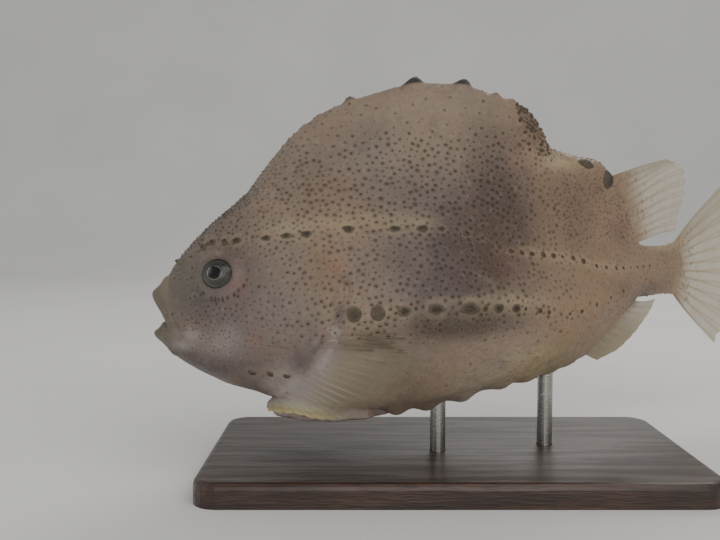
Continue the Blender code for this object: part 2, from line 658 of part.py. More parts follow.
def fin(name, surface, rays, rows=6, sunk=0.16, root=0.0024, tip=0.0009, web=0.55, notch=0.05, grow=0.0,
        collection=None):
    """A rayed fin. The rays stand up as ridges on both faces of the membrane, and run out past its edge."""
    front, back = fin_sheets(surface, rays, rows, sunk, root, tip, web, notch, grow)
    columns, n, size = 2 * rays - 1, rows + 1, len(front)
    faces = []
    for c in range(columns - 1):
        for r in range(rows):
            a, b, d, e = c * n + r, (c + 1) * n + r, (c + 1) * n + r + 1, c * n + r + 1
            for offset, turn in ((0, 1), (size, -1)):
                first, second = (a + offset, b + offset, d + offset), (a + offset, d + offset, e + offset)
                faces += [first[::turn], second[::turn]]
    rim = list(range(n)) + [c * n + rows for c in range(1, columns)]
    rim += [(columns - 1) * n + r for r in range(rows - 1, -1, -1)]
    rim += [c * n for c in range(columns - 2, 0, -1)]
    for here, after in zip(rim, rim[1:] + rim[:1]):
        faces += [(here, after, after + size), (here, after + size, here + size)]
    obj = new_object(name, front + back, faces, collection)
    return as_cutter(obj) if grow else obj


DORSAL = fin_surface(
    ((0.736, 0.176), (0.752, 0.148), (0.768, 0.122), (0.784, 0.096), (0.806, 0.078)),
    ((0.925, 0.222), (0.985, 0.216), (1.003, 0.175), (0.994, 0.135), (0.972, 0.094)), bow=0.02)
ANAL = fin_surface(
    ((0.672, -0.094), (0.700, -0.070), (0.735, -0.042), (0.790, -0.018)),
    ((0.704, -0.110), (0.765, -0.094), (0.826, -0.064), (0.886, -0.032)), bow=-0.03)
CAUDAL = fin_surface(
    ((0.970, 0.070), (0.972, 0.045), (0.972, 0.005), (0.970, -0.018)),
    ((1.118, 0.178), (1.152, 0.112), (1.166, 0.026), (1.148, -0.062), (1.112, -0.124)))
PECTORAL_ROOT = (
    (0.270, 0.163, -0.022), (0.272, 0.162, -0.042), (0.270, 0.157, -0.067), (0.260, 0.148, -0.090),
    (0.243, 0.134, -0.114), (0.213, 0.116, -0.128), (0.178, 0.100, -0.134),
)
PECTORAL_TIP = (
    (0.386, 0.172, -0.040), (0.385, 0.171, -0.066), (0.376, 0.165, -0.092), (0.346, 0.156, -0.122),
    (0.318, 0.148, -0.138), (0.286, 0.138, -0.151), (0.243, 0.126, -0.153), (0.206, 0.114, -0.148),
    (0.168, 0.104, -0.146),
)
PECTORAL = {
    side: fin_surface(
        [(along, side * out, up) for along, out, up in PECTORAL_ROOT],
        [(along, side * out, up) for along, out, up in PECTORAL_TIP], bow=0.05 * side)
    for side in (LEFT, RIGHT)
}


def sucker(name, grow=0.0, collection=None):
    """The ribbed sucking disc under the chest, a shallow cup with a scalloped rim."""
    share = grow / LENGTH
    rings = []
    for i, (reach, up) in enumerate(DISC_OUTLINE):
        rise = up + share if i == 0 else up - share if i > 1 else up
        if grow and i > 2:
            rise = DISC_CLEAR
        ring = []
        for j in range(3 * DISC_LOBES):
            turn = 2 * math.pi * j / (3 * DISC_LOBES)
            lobe = 1 + (0.028 * math.cos(DISC_LOBES * turn) if i > 1 else 0.0)
            wide = reach * lobe + share
            ring.append(place(DISC_AT + 1.12 * wide * math.cos(turn), wide * math.sin(turn), rise))
        rings.append(ring)
    roof = place(DISC_AT, 0, DISC_OUTLINE[0][1] + 0.002 + share)
    floor = place(DISC_AT, 0, DISC_CLEAR if grow else DISC_FLOOR)
    obj = loft(name, rings, collection, tip=roof, tail=floor)
    return as_cutter(obj) if grow else obj


# The display stand: a flat base and two short rods that reach up into the belly, each given as its
# name, its place along the body, and how far it goes in.
BASE_SIZE, BASE_CORNER, BASE_BEVEL = (0.250, 0.130, 0.012), 0.012, 0.003
ROD_RADIUS, ROD_FOOT = 0.0040, 0.006
RODS = (("stand_rod_front", 0.425, 0.012), ("stand_rod_rear", 0.600, 0.0105))


def stand_base():
    """The flat base with rounded corners and a small bevel round its top."""
    tall = BASE_SIZE[2]
    shell = bmesh.new()
    bmesh.ops.create_cube(
        shell, size=1.0, matrix=Matrix.Translation((0, 0, tall / 2)) @ Matrix.Diagonal((*BASE_SIZE, 1.0)))
    corners = [edge for edge in shell.edges if abs(edge.verts[0].co.z - edge.verts[1].co.z) > GAP]
    bmesh.ops.bevel(shell, geom=corners, offset=BASE_CORNER, segments=5, profile=0.5, affect="EDGES")
    rim = [edge for edge in shell.edges if min(vert.co.z for vert in edge.verts) > tall - GAP]
    bmesh.ops.bevel(shell, geom=rim, offset=BASE_BEVEL, segments=3, profile=0.5, affect="EDGES")
    return object_from(shell, "stand_base")


def rod(name, along, inside, grow=0.0, collection=None):
    """One upright rod from the base into the belly."""
    spot = place(along, 0, float(belly_up(along)))
    low, high = ROD_FOOT - grow, spot.z + inside + grow
    size = ROD_RADIUS + grow
    shell = bmesh.new()
    bmesh.ops.create_cone(
        shell, cap_ends=True, segments=24, radius1=size, radius2=size, depth=high - low,
        matrix=Matrix.Translation((spot.x, spot.y, 0.5 * (low + high))))
    obj = object_from(shell, name, collection)
    return as_cutter(obj) if grow else obj


def give_material(obj, colour, roughness, metallic=0.0):
    """A plain material of the object's own."""
    material = bpy.data.materials.new(obj.name)
    material.use_nodes = True
    shader = next(node for node in material.node_tree.nodes if node.type == "BSDF_PRINCIPLED")
    shader.inputs["Base Color"].default_value = (*colour, 1.0)
    shader.inputs["Roughness"].default_value = roughness
    shader.inputs["Metallic"].default_value = metallic
    obj.data.materials.clear()
    obj.data.materials.append(material)


def fused_body():
    """The whole body with its raised forms, as one closed surface."""
    body = whole_body()
    forms = bpy.data.collections.new("relief")
    bpy.context.scene.collection.children.link(forms)
    relief(forms)
    boolean(body, "UNION", forms)
    remove_collection(forms)
    keep_largest(body)
    return body


def remove_collection(collection):
    """Removes a collection with what is in it."""
    for obj in list(collection.objects):
        bpy.data.objects.remove(obj, do_unlink=True)
    bpy.data.collections.remove(collection)


def parted(body):
    """The body's four nodes, parted behind the gill cover, below the crest and at the tail stalk."""
    share = GAP / LENGTH
    ahead = [(-0.12, up) for along, up in GILL_EDGE]
    head_front = slab("head_front", GILL_EDGE, ahead, 0.30)
    head_front_wide = slab("head_front_wide", offset_path(GILL_EDGE, share), ahead, 0.31)
    above = [(along, 0.42) for along, up in CREST_FOOT]
    crest_top = slab("crest_top", CREST_FOOT, above, 0.12)
    wide_foot = offset_path(CREST_FOOT, -share)
    wide_foot[0] = (CREST_FOOT[0][0] - share, wide_foot[0][1])
    crest_top_wide = slab("crest_top_wide", wide_foot, [(along, 0.43) for along, up in wide_foot], 0.13)
    rear = [TAIL_AT, 0.86, 0.92, 1.04]
    tail_rear = slab("tail_rear", [(a, -0.12) for a in rear], [(a, 0.24) for a in rear], 0.10)
    rear[0] = TAIL_AT - share
    tail_rear_wide = slab("tail_rear_wide", [(a, -0.13) for a in rear], [(a, 0.25) for a in rear], 0.11)

    nodes = {}
    for name, keeper in (("head", head_front), ("crest", crest_top), ("tail_base", tail_rear)):
        nodes[name] = copy_of(body, name)
        boolean(nodes[name], "INTERSECT", keeper)
    keep_largest(nodes["crest"])
    body.name = body.data.name = "torso"
    cut(body, head_front_wide, crest_top_wide, tail_rear_wide)
    nodes["torso"] = body
    return nodes


def eyes(head):
    """The two eyeballs, each in a socket of its own in the head."""
    balls = []
    for name, side in (("eye_left", LEFT), ("eye_right", RIGHT)):
        balls.append(ball(name, 16, 9, eye_matrix(side, EYE_RADIUS)))
        hollow = eye_matrix(side, EYE_RADIUS + 1.5 * GAP)
        cut(head, as_cutter(ball(name + "_socket", 16, 9, hollow, cutter_collection())))
    return balls


def rayed_fins(nodes):
    """The five fins, each with its root in a slot of the nodes that carry it."""
    pectoral = dict(rays=17, rows=5, sunk=0.12, root=0.0022)
    makers = {
        "dorsal_fin": (DORSAL, dict(rays=11, sunk=0.10), ("torso", "tail_base")),
        "anal_fin": (ANAL, dict(rays=10, sunk=0.16), ("torso", "tail_base")),
        "caudal_fin": (CAUDAL, dict(rays=12, sunk=0.14), ("tail_base",)),
        "pectoral_fin_left": (PECTORAL[LEFT], pectoral, ("torso", "head")),
        "pectoral_fin_right": (PECTORAL[RIGHT], pectoral, ("torso", "head")),
    }
    fins = {}
    for name, (surface, sizes, carriers) in makers.items():
        fins[name] = fin(name, surface, **sizes)
        coarse = dict(sizes, rays=7 if sizes["rays"] > 12 else 4, rows=3)
        slot = fin(name + "_slot", surface, grow=1.6 * GAP, collection=cutter_collection(), **coarse)
        for carrier in carriers:
            cut(nodes[carrier], slot)
    return fins


def stand(torso):
    """The base and the two rods, with a hole for each rod in the base and in the torso."""
    base, rods = stand_base(), []
    for name, along, inside in RODS:
        hole = rod(name + "_hole", along, inside, GAP, cutter_collection())
        cut(base, hole)
        cut(torso, hole)
        rods.append(rod(name, along, inside))
    return base, rods


def build():
    """Makes every node of the fish and its stand."""
    remove_objects()
    nodes = parted(fused_body())
    balls = eyes(nodes["head"])
    disc_hollow = sucker("disc_hollow", GAP, cutter_collection())
    cut(nodes["head"], mouth_groove(), disc_hollow)
    cut(nodes["torso"], disc_hollow)
    disc = sucker("sucker_disc")
    fins = rayed_fins(nodes)
    base, rods = stand(nodes["torso"])
    remove_collection(cutter_collection())

    for obj in nodes.values():
        give_material(obj, (0.19, 0.15, 0.12), 0.55)
    for obj in balls:
        give_material(obj, (0.05, 0.05, 0.045), 0.12)
    for name, obj in fins.items():
        give_material(obj, (0.24, 0.20, 0.16) if name.startswith("pectoral") else (0.30, 0.27, 0.22), 0.5)
    give_material(disc, (0.28, 0.22, 0.18), 0.5)
    give_material(base, (0.060, 0.034, 0.022), 0.45)
    for obj in rods:
        give_material(obj, (0.62, 0.60, 0.57), 0.30, metallic=1.0)


build()
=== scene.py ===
"""Looks of the lumpfish on its stand: skin, plates, tubercles, fins, eyes and sucking disc.

Metres, +Z up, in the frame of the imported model. The head points to -X and the left side faces -Y.
A place on the fish is (along, out, up), each a share of LENGTH: along the bent midline from the snout,
out from the midline (positive on the left side), and up from the level of the snout.
"""

import math

import bmesh
import bpy
import numpy as np
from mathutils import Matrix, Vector, noise
from mathutils.kdtree import KDTree


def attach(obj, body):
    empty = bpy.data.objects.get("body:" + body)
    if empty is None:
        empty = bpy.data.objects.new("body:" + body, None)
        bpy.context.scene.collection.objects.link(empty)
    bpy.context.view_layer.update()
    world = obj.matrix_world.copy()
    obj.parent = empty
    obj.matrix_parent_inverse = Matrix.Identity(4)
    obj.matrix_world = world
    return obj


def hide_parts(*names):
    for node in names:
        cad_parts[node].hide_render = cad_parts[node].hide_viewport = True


# Driving sizes, as in the part's source.
LENGTH = 0.340
SNOUT_X, SNOUT_Y, SNOUT_Z = -0.150, -0.022, 0.092
HEADING_NOSE, HEADING_TAIL, SWING_FROM = 5.0, 56.0, 0.38
FLICK, FLICK_FROM, FLICK_OVER = 24.0, 0.86, 0.24
BODY_START, NOSE_STATION, BODY_END = 0.014, 0.028, 0.975
LEFT, RIGHT = 1, -1
EYE_AT, EYE_RADIUS, EYE_SHOWS, EYE_LONG = (0.1015, 0.045), 0.0086, 0.0073, 1.12
# How far the cornea bulges, and how far the pupil sits towards the tail as a share of what shows.
CORNEA, PUPIL_ASIDE = 0.00035, 0.12
DISC_AT = 0.262

# How fine the skin is made, and how far to both sides the points lie that give a direction on it.
VOXEL = 0.00095
GRID_STATIONS, GRID_HALF = 300, 110
STEP_ALONG, STEP_ROUND = 0.006, 0.012
# The low waves of the skin, as (height, size) in metres.
SKIN_WAVES = ((0.00035, 0.016), (0.00018, 0.0055))

# Outlines of the body, as (along, value) pairs in thousandths of LENGTH. Each cross-section runs through
# these seven points.
TOP_UP = (
    (14, 24), (30, 48), (58, 84), (83, 109), (114, 136), (140, 159), (168, 198), (189, 225), (213, 249),
    (240, 269), (282, 291), (328, 306), (373, 318), (410, 322), (463, 319), (502, 308), (540, 297),
    (562, 283), (580, 264), (592, 244), (601, 230), (642, 219), (689, 207), (715, 195), (735, 175),
    (765, 132), (787, 96), (810, 78), (850, 72), (914, 71), (975, 78),
)
EDGE_OUT = (
    (14, 14), (50, 34), (100, 50), (140, 46), (180, 30), (240, 18), (400, 15), (550, 12), (600, 13),
    (650, 18), (710, 13), (760, 8), (800, 8), (900, 7), (1000, 5),
)
EDGE_DROP = (
    (14, 4), (100, 10), (200, 16), (600, 14), (720, 10), (800, 7), (1000, 6),
)
BACK_UP = (
    (14, 11), (50, 64), (100, 115), (140, 140), (180, 172), (240, 190), (350, 200), (500, 198), (600, 180),
    (680, 165), (720, 150), (760, 105), (800, 68), (900, 62), (1000, 64),
)
BACK_OUT = (
    (14, 22), (50, 50), (100, 72), (140, 72), (180, 64), (240, 56), (350, 52), (500, 44), (600, 36),
    (680, 25), (740, 15), (800, 12), (900, 11), (1000, 8),
)
UPPER_UP = (
    (14, 0), (50, 45), (100, 88), (140, 93), (200, 100), (300, 106), (400, 106), (460, 96), (500, 82),
    (560, 69), (600, 62), (650, 51), (700, 44), (800, 41), (900, 43), (1000, 45),
)
UPPER_OUT = (
    (14, 31), (50, 60), (100, 84), (140, 92), (200, 101), (300, 106), (400, 98), (500, 84), (600, 66),
    (700, 45), (760, 32), (800, 26), (900, 20), (1000, 11),
)
MIDDLE_UP = (
    (14, -18), (50, -12), (100, -10), (200, -10), (300, -4), (400, 0), (500, -3), (580, -16), (640, -2),
    (700, 10), (800, 22), (900, 26), (1000, 28),
)
MIDDLE_OUT = (
    (14, 36), (50, 70), (100, 104), (150, 128), (200, 146), (260, 158), (320, 162), (400, 152), (500, 130),
    (600, 100), (700, 62), (760, 42), (800, 32), (900, 23), (1000, 12),
)
LOWER_UP = (
    (14, -40), (50, -74), (100, -97), (150, -113), (200, -125), (300, -137), (380, -135), (450, -122),
    (500, -111), (550, -103), (600, -92), (660, -70), (700, -46), (750, -20), (800, -1), (900, 4),
    (1000, 8),
)
LOWER_OUT = (
    (14, 26), (50, 44), (100, 66), (150, 80), (200, 92), (300, 106), (400, 100), (500, 82), (600, 58),
    (700, 34), (800, 22), (900, 15), (1000, 8),
)
BELLY_UP = (
    (14, -52), (30, -80), (50, -97), (90, -118), (114, -129), (146, -138), (167, -146), (220, -158),
    (281, -166), (340, -168), (400, -162), (450, -155), (500, -143), (550, -134), (600, -124), (633, -115),
    (655, -105), (680, -90), (710, -62), (736, -42), (763, -26), (800, -16), (900, -18), (975, -26),
)
# How far round the half-section, from 0 at the top to 1 at the belly, each of those points sits.
ROUND = (0.0, 0.07, 0.30, 0.42, 0.62, 0.85, 1.0)

# The rows of plates, as (along, half length, half height), the sizes in millimetres.
UPPER_ROW = (
    (0.080, 1.1, 1.4), (0.094, 1.4, 1.2), (0.111, 1.5, 1.4), (0.128, 2.1, 1.5), (0.168, 2.2, 1.3),
    (0.195, 2.3, 1.2), (0.223, 2.4, 1.5), (0.280, 2.9, 1.7), (0.345, 2.6, 1.4), (0.384, 2.6, 1.7),
    (0.410, 1.6, 1.4), (0.445, 1.6, 1.4), (0.466, 0.9, 0.9), (0.490, 1.2, 1.2), (0.506, 1.4, 1.1),
    (0.521, 1.5, 1.3), (0.536, 1.5, 1.3), (0.554, 1.5, 1.4), (0.570, 1.5, 1.3), (0.585, 0.8, 0.8),
    (0.603, 1.3, 1.3), (0.621, 1.5, 1.5), (0.646, 1.1, 1.1), (0.667, 1.1, 1.1), (0.691, 1.0, 1.1),
    (0.710, 1.3, 1.1), (0.733, 0.8, 0.8), (0.757, 0.9, 0.8), (0.780, 0.8, 0.8), (0.804, 0.8, 0.7),
    (0.835, 0.7, 0.6), (0.870, 0.6, 0.5),
)
MIDDLE_ROW = (
    (0.284, 3.0, 3.0), (0.315, 3.0, 3.0), (0.350, 2.6, 2.0), (0.394, 3.6, 2.2), (0.439, 3.9, 2.3),
    (0.459, 1.2, 1.3), (0.476, 2.3, 2.1), (0.499, 2.1, 1.9), (0.512, 0.8, 0.9), (0.532, 1.3, 1.2),
    (0.545, 1.0, 1.0), (0.577, 0.8, 0.7), (0.597, 1.1, 0.8), (0.624, 0.8, 1.2), (0.655, 0.9, 0.9),
    (0.690, 0.8, 0.8), (0.730, 0.7, 0.7), (0.775, 0.6, 0.6), (0.825, 0.6, 0.5),
)
# The plates are built 12% larger than that, in metres.
PLATE_SCALE = 0.00112
# The first plates of the middle row are smooth discs: how dark the middle of each is, and its soft edge.
SMOOTH_CORES, SMOOTH_EDGE = (0.70, 0.25), 0.40
# A plate's outline from its foot to its top: radius and height as shares, and how far it counts as top.
PLATE_OUTLINE = (
    (1.16, -0.45, 0.0), (1.07, 0.00, 0.0), (0.97, 0.24, 0.25), (0.79, 0.54, 0.58), (0.54, 0.79, 0.85),
    (0.27, 0.95, 1.0),
)
# The low knobs on the edge of the belly, how far below the edge of the flank they lie, and how wide they
# are, in metres. KNOB_HEIGHT is how high one at KNOB_FROM is, and KNOB_FALL how that falls along the body.
LOWER_ROW = (0.352, 0.397, 0.448, 0.506, 0.548, 0.586, 0.620, 0.650)
LOWER_ROW_DROP, KNOB_WIDTH = 0.015, 0.0060
KNOB_FROM, KNOB_HEIGHT, KNOB_FALL = 0.40, 0.0034, 0.0080
# The small plates on the cheek, as (along, height in metres), where they lie on the flank, and their half
# length and half height in metres.
CHEEK_ROW, CHEEK_UP = ((0.148, 0.0011), (0.173, 0.0011), (0.196, 0.0021)), -0.091
CHEEK_HALVES = (0.0022, 0.0018)
# The low dark mounds on the edge of the crest, as (along, half length and height in millimetres).
CREST_ROW = (
    (0.221, 2.0, 0.7), (0.243, 2.0, 0.7), (0.289, 3.4, 2.1), (0.384, 5.8, 3.5), (0.458, 5.4, 3.4),
    (0.511, 2.4, 1.8), (0.537, 2.4, 1.5),
)
# A mound's outline from its foot to its top: radius, height and lean as shares.
MOUND_OUTLINE = (
    (1.25, -1.3, 0.0), (1.12, -0.6, 0.0), (0.95, -0.1, 0.04), (0.66, 0.36, 0.14), (0.36, 0.74, 0.24),
    (0.15, 0.95, 0.28),
)
# The small plates at the rear of the crest: where along, how far round the section and how many.
CREST_REAR, CREST_REAR_WAY, CREST_REAR_COUNT = (0.540, 0.588), 0.24, 210
# The two large scutes on the hump behind it, as (along, way round, half length, half height, height).
HUMP_SCUTES = ((0.658, 0.060, 4.8, 3.2, 1.2), (0.700, 0.185, 4.6, 4.8, 2.6))
HUMP_AT, HUMP_LIFT = 0.688, 0.0018


def smooth_curve(knots):
    """A smooth curve through (place, value) pairs that doesn't overshoot them."""
    x, y = np.array(knots, float).T
    step, slope = np.diff(x), np.diff(y) / np.diff(x)
    tangent = np.zeros(len(x))
    tangent[0], tangent[-1] = slope[0], slope[-1]
    for i in range(1, len(x) - 1):
        if slope[i - 1] * slope[i] > 0:
            before, after = 2 * step[i] + step[i - 1], step[i] + 2 * step[i - 1]
            tangent[i] = (before + after) / (before / slope[i - 1] + after / slope[i])

    def at(spot):
        spot = np.clip(np.asarray(spot, float), x[0], x[-1])
        i = np.clip(np.searchsorted(x, spot, side="right") - 1, 0, len(x) - 2)
        h = step[i]
        t = (spot - x[i]) / h
        return (
            (1 + 2 * t) * (1 - t) ** 2 * y[i]
            + t * (1 - t) ** 2 * h * tangent[i]
            + t * t * (3 - 2 * t) * y[i + 1]
            + t * t * (t - 1) * h * tangent[i + 1]
        )

    return at


def outlines(*tables):
    """A smooth curve for each table of pairs in thousandths."""
    return [smooth_curve(np.array(table) / 1000) for table in tables]


top_up, edge_out, edge_drop = outlines(TOP_UP, EDGE_OUT, EDGE_DROP)
SECTION_OUT = outlines(BACK_OUT, UPPER_OUT, MIDDLE_OUT, LOWER_OUT)
SECTION_UP = outlines(BACK_UP, UPPER_UP, MIDDLE_UP, LOWER_UP, BELLY_UP)
upper_up, middle_up, lower_up = SECTION_UP[1:4]


def section(along):
    """Two curves, out and up, over the way round the half-section at that place along the body."""
    outs = [0.0, float(edge_out(along)), *(float(c(along)) for c in SECTION_OUT), 0.0]
    top = float(top_up(along))
    ups = [top, top - float(edge_drop(along)), *(float(c(along)) for c in SECTION_UP)]
    return smooth_curve(tuple(zip(ROUND, outs))), smooth_curve(tuple(zip(ROUND, ups)))


def heading(along):
    """Which way the midline points at that place, in radians round +Z from +X."""
    swing = np.clip((np.asarray(along) - SWING_FROM) / (1 - SWING_FROM), 0, 1)
    flick = np.clip((np.asarray(along) - FLICK_FROM) / FLICK_OVER, 0, 1)
    turn = HEADING_NOSE + (HEADING_TAIL - HEADING_NOSE) * swing * swing * (3 - 2 * swing)
    return np.radians(turn - FLICK * flick * flick * (3 - 2 * flick))


STEPS = np.linspace(-0.2, 1.6, 1801)
MIDLINE_X = np.concatenate([[0.0], np.cumsum(np.cos(heading(STEPS[:-1])) * np.diff(STEPS))])
MIDLINE_Y = np.concatenate([[0.0], np.cumsum(np.sin(heading(STEPS[:-1])) * np.diff(STEPS))])
MIDLINE_X -= np.interp(0.0, STEPS, MIDLINE_X)
MIDLINE_Y -= np.interp(0.0, STEPS, MIDLINE_Y)


def place(along, out, up):
    """The points in the row frame of places on the fish, as an array with x, y and z last."""
    along, out, up = np.broadcast_arrays(np.asarray(along, float), out, up)
    turn = heading(along)
    x = SNOUT_X + LENGTH * (np.interp(along, STEPS, MIDLINE_X) + np.sin(turn) * out)
    y = SNOUT_Y + LENGTH * (np.interp(along, STEPS, MIDLINE_Y) - np.cos(turn) * out)
    return np.stack([x, y, SNOUT_Z + LENGTH * up], -1)


def way_at(along, up):
    """How far round the half-section that height is, on the flank."""
    rise = section(along)[1]
    ways = np.linspace(0, 1, 201)
    return float(np.interp(-up, -rise(ways), ways))


def soft_step(low, high, value):
    """0 below low, 1 above high, and a smooth rise between them."""
    t = np.clip((np.asarray(value, float) - low) / (high - low), 0, 1)
    return t * t * (3 - 2 * t)


def bell(value, width):
    """A soft bump, 1 where the value is 0 and fading to 0 on both sides."""
    return np.exp(-((value / width) ** 2))


def curve(knots):
    """A smooth curve through points of any size, over 0 to 1 by the length of its chords."""
    points = np.array(knots, float)
    reach = np.concatenate([[0], np.cumsum(np.linalg.norm(np.diff(points, axis=0), axis=1))])
    parts = [smooth_curve(tuple(zip(reach / reach[-1], column))) for column in points.T]
    return lambda share: np.stack([part(share) for part in parts], -1)


def unit(vectors):
    """The vectors at length 1."""
    return vectors / np.maximum(np.linalg.norm(vectors, axis=-1, keepdims=True), 1e-9)


def mesh_object(name, points, faces):
    """A smooth-shaded mesh object from an array of points and lists or an array of faces."""
    mesh = bpy.data.meshes.new(name)
    if isinstance(faces, np.ndarray):
        faces = faces.tolist()
    mesh.from_pydata(np.asarray(points).tolist(), [], faces)
    mesh.update()
    mesh.shade_smooth()
    obj = bpy.data.objects.new(name, mesh)
    bpy.context.scene.collection.objects.link(obj)
    return obj


def grid_faces(rows, columns, wrap=True):
    """Quads over a grid of points, row by row. Where wrap is true the last column joins the first."""
    r, c = np.meshgrid(np.arange(rows - 1), np.arange(columns if wrap else columns - 1), indexing="ij")
    here, after = r * columns + c, r * columns + (c + 1) % columns
    return np.stack([here, after, after + columns, here + columns], -1).reshape(-1, 4)


def circle(count):
    """Angles evenly round a circle."""
    return 2 * np.pi * np.arange(count) / count


def capped(rings):
    """Points and faces of a closed shape through many rings, with a point in the middle of each end."""
    rings = np.asarray(rings, float)
    rows, columns = rings.shape[:2]
    points = np.concatenate([rings.reshape(-1, 3), [rings[0].mean(0)], [rings[-1].mean(0)]])
    faces = grid_faces(rows, columns).tolist()
    last = rows * columns
    faces += [[last, (j + 1) % columns, j] for j in range(columns)]
    start = (rows - 1) * columns
    faces += [[last + 1, start + j, start + (j + 1) % columns] for j in range(columns)]
    return points, faces


# The angles of the rings in the rounded end of a tube.
DOME = (0.5, 1.0, 1.35)


def tube(points, radii, sides=16, per=8):
    """Points and faces of a rounded rod along a smooth path, with a dome on each end."""
    shares = np.linspace(0, 1, per * len(points))
    path = curve(points)(shares)
    sizes = np.interp(shares, np.linspace(0, 1, len(radii)), radii)[:, None, None]
    ahead = unit(np.gradient(path, axis=0))
    side = unit(np.cross(ahead, (0, 0, 1)))
    top = np.cross(side, ahead)
    turns = circle(sides)
    rim = side[:, None] * np.cos(turns)[None, :, None] + top[:, None] * np.sin(turns)[None, :, None]
    domes = [
        [path[i] + sizes[i] * (rim[i] * math.cos(a) + sign * ahead[i] * math.sin(a)) for a in DOME]
        for i, sign in ((0, -1), (-1, 1))
    ]
    return capped(np.concatenate([domes[0][::-1], path[:, None] + rim * sizes, domes[1]]))


def body_grid():
    """The body as a fine grid: its points, and each point's place along, way round and side."""
    stations = NOSE_STATION + (BODY_END - NOSE_STATION) * np.linspace(0, 1, GRID_STATIONS) ** 1.12
    nose = [(0.0200, 0.30), (0.0200, 0.60), (0.0215, 0.82), (0.0240, 0.95)]
    tail = [(BODY_END + 0.004, 0.90), (BODY_END + 0.006, 0.78), (BODY_END + 0.007, 0.40)]
    ways = np.linspace(0, 1, GRID_HALF + 1)
    rings, marks = [], []
    for along, scale in nose + [(a, 1.0) for a in stations] + tail:
        out, rise = section(min(max(along, BODY_START), BODY_END))
        outs, ups = out(ways), rise(ways)
        middle = 0.5 * (ups[0] + ups[-1])
        ups = middle + scale * (ups - middle)
        left = place(along, scale * outs, ups)
        right = place(along, -scale * outs, ups)[-2:0:-1]
        rings.append(np.concatenate([left, right]))
        side = np.concatenate([np.ones(len(left)), -np.ones(len(right))])
        marks.append(np.stack([np.full(len(side), along), np.concatenate([ways, ways[-2:0:-1]]), side], -1))
    return np.array(rings), np.array(marks)


RINGS, MARKS = body_grid()


def on_skin(along, way, side):
    """The point on the plain body there, and three unit directions: towards the tail, round it, outwards."""
    def point(a, w):
        out, rise = section(a)
        return place(a, side * float(out(abs(w))) * (1 if w >= 0 else -1), float(rise(abs(w))))

    here = point(along, way)
    ahead, behind = max(along - STEP_ALONG, BODY_START), min(along + STEP_ALONG, BODY_END)
    tailward = unit(point(behind, way) - point(ahead, way))
    roundward = point(along, min(way + STEP_ROUND, 1.0)) - point(along, way - STEP_ROUND)
    roundward = unit(roundward - tailward * roundward.dot(tailward))
    outward = np.cross(tailward, roundward)
    core = place(along, 0, 0.3 * float(top_up(along)))
    return here, tailward, roundward, outward if outward.dot(here - core) > 0 else -outward


def on_flank(spot, side):
    """The same as on_skin for a spot on the flank, given as (along, up)."""
    return on_skin(spot[0], way_at(*spot), side)


# The rear edge of the gill cover and the fold behind the mouth, as (along, up).
GILL_EDGE = (
    (0.172, 0.118), (0.215, 0.082), (0.255, 0.055), (0.273, 0.036), (0.272, 0.015), (0.264, -0.003),
    (0.252, -0.025), (0.237, -0.046), (0.213, -0.079), (0.189, -0.106), (0.169, -0.121), (0.150, -0.128),
)
JAW_FOLD = (
    (0.023, 0.026), (0.026, 0.011), (0.031, -0.006), (0.038, -0.022), (0.047, -0.037), (0.051, -0.044),
)
BROW_FOLD = ((0.058, 0.048), (0.064, 0.066), (0.076, 0.079), (0.100, 0.083), (0.135, 0.087))

# Each lip's border with the face and its foremost line, and the mouth line between the lips,
# from the corner to the middle of the front, as (along, out, up).
UPPER_LIP = (
    ((0.046, 0.061, -0.044), (0.040, 0.056, -0.026), (0.033, 0.048, -0.008), (0.027, 0.036, 0.010),
     (0.023, 0.018, 0.029), (0.022, 0, 0.035)),
    ((0.043, 0.064, -0.049), (0.033, 0.058, -0.034), (0.022, 0.048, -0.018), (0.010, 0.034, -0.003),
     (0.002, 0.017, 0.007), (-0.001, 0, 0.010)),
)
LOWER_LIP = (
    ((0.045, 0.057, -0.056), (0.042, 0.047, -0.064), (0.039, 0.035, -0.070), (0.036, 0.022, -0.0765),
     (0.034, 0.011, -0.081), (0.034, 0, -0.0825)),
    ((0.044, 0.061, -0.052), (0.032, 0.051, -0.050), (0.020, 0.040, -0.049), (0.010, 0.028, -0.049),
     (0.003, 0.015, -0.049), (0.000, 0, -0.049)),
)
MOUTH_LINE = (
    (0.044, 0.060, -0.050), (0.035, 0.050, -0.041), (0.027, 0.037, -0.034), (0.021, 0.019, -0.029),
    (0.019, 0, -0.028),
)
LIP_PARTING, LIP_DEPTH = 0.0020, 0.007
MOUTH_CORE = (0.085, 0, -0.036)
# Half the mouth's opening and its depth in metres, at the corner and how much more in the middle.
MOUTH_HALF, MOUTH_DEPTH = (0.0005, 0.0009), (0.0020, 0.0060)
NOSE_TUBE_AT, NOSE_TUBE_RADII = (0.0445, 0.0585), (0.0036, 0.0030, 0.0017)
# The pale lobe behind the corner of the mouth and the fold under it, each with its place and radii.
CORNER_FOLDS = (((0.065, -0.042), (0.0050, 0.0034, 0.0016)), ((0.050, -0.060), (0.0046, 0.0021, 0.0016)))
# The fleshy base of the pectoral fin, from the knob at its top down to the belly, as (along, up).
FIN_BASE = (
    (0.258, -0.030), (0.258, -0.044), (0.249, -0.064), (0.236, -0.085), (0.216, -0.106), (0.194, -0.123),
    (0.176, -0.134),
)
FIN_KNOB_RADII = (0.0021, 0.0017, 0.0014)
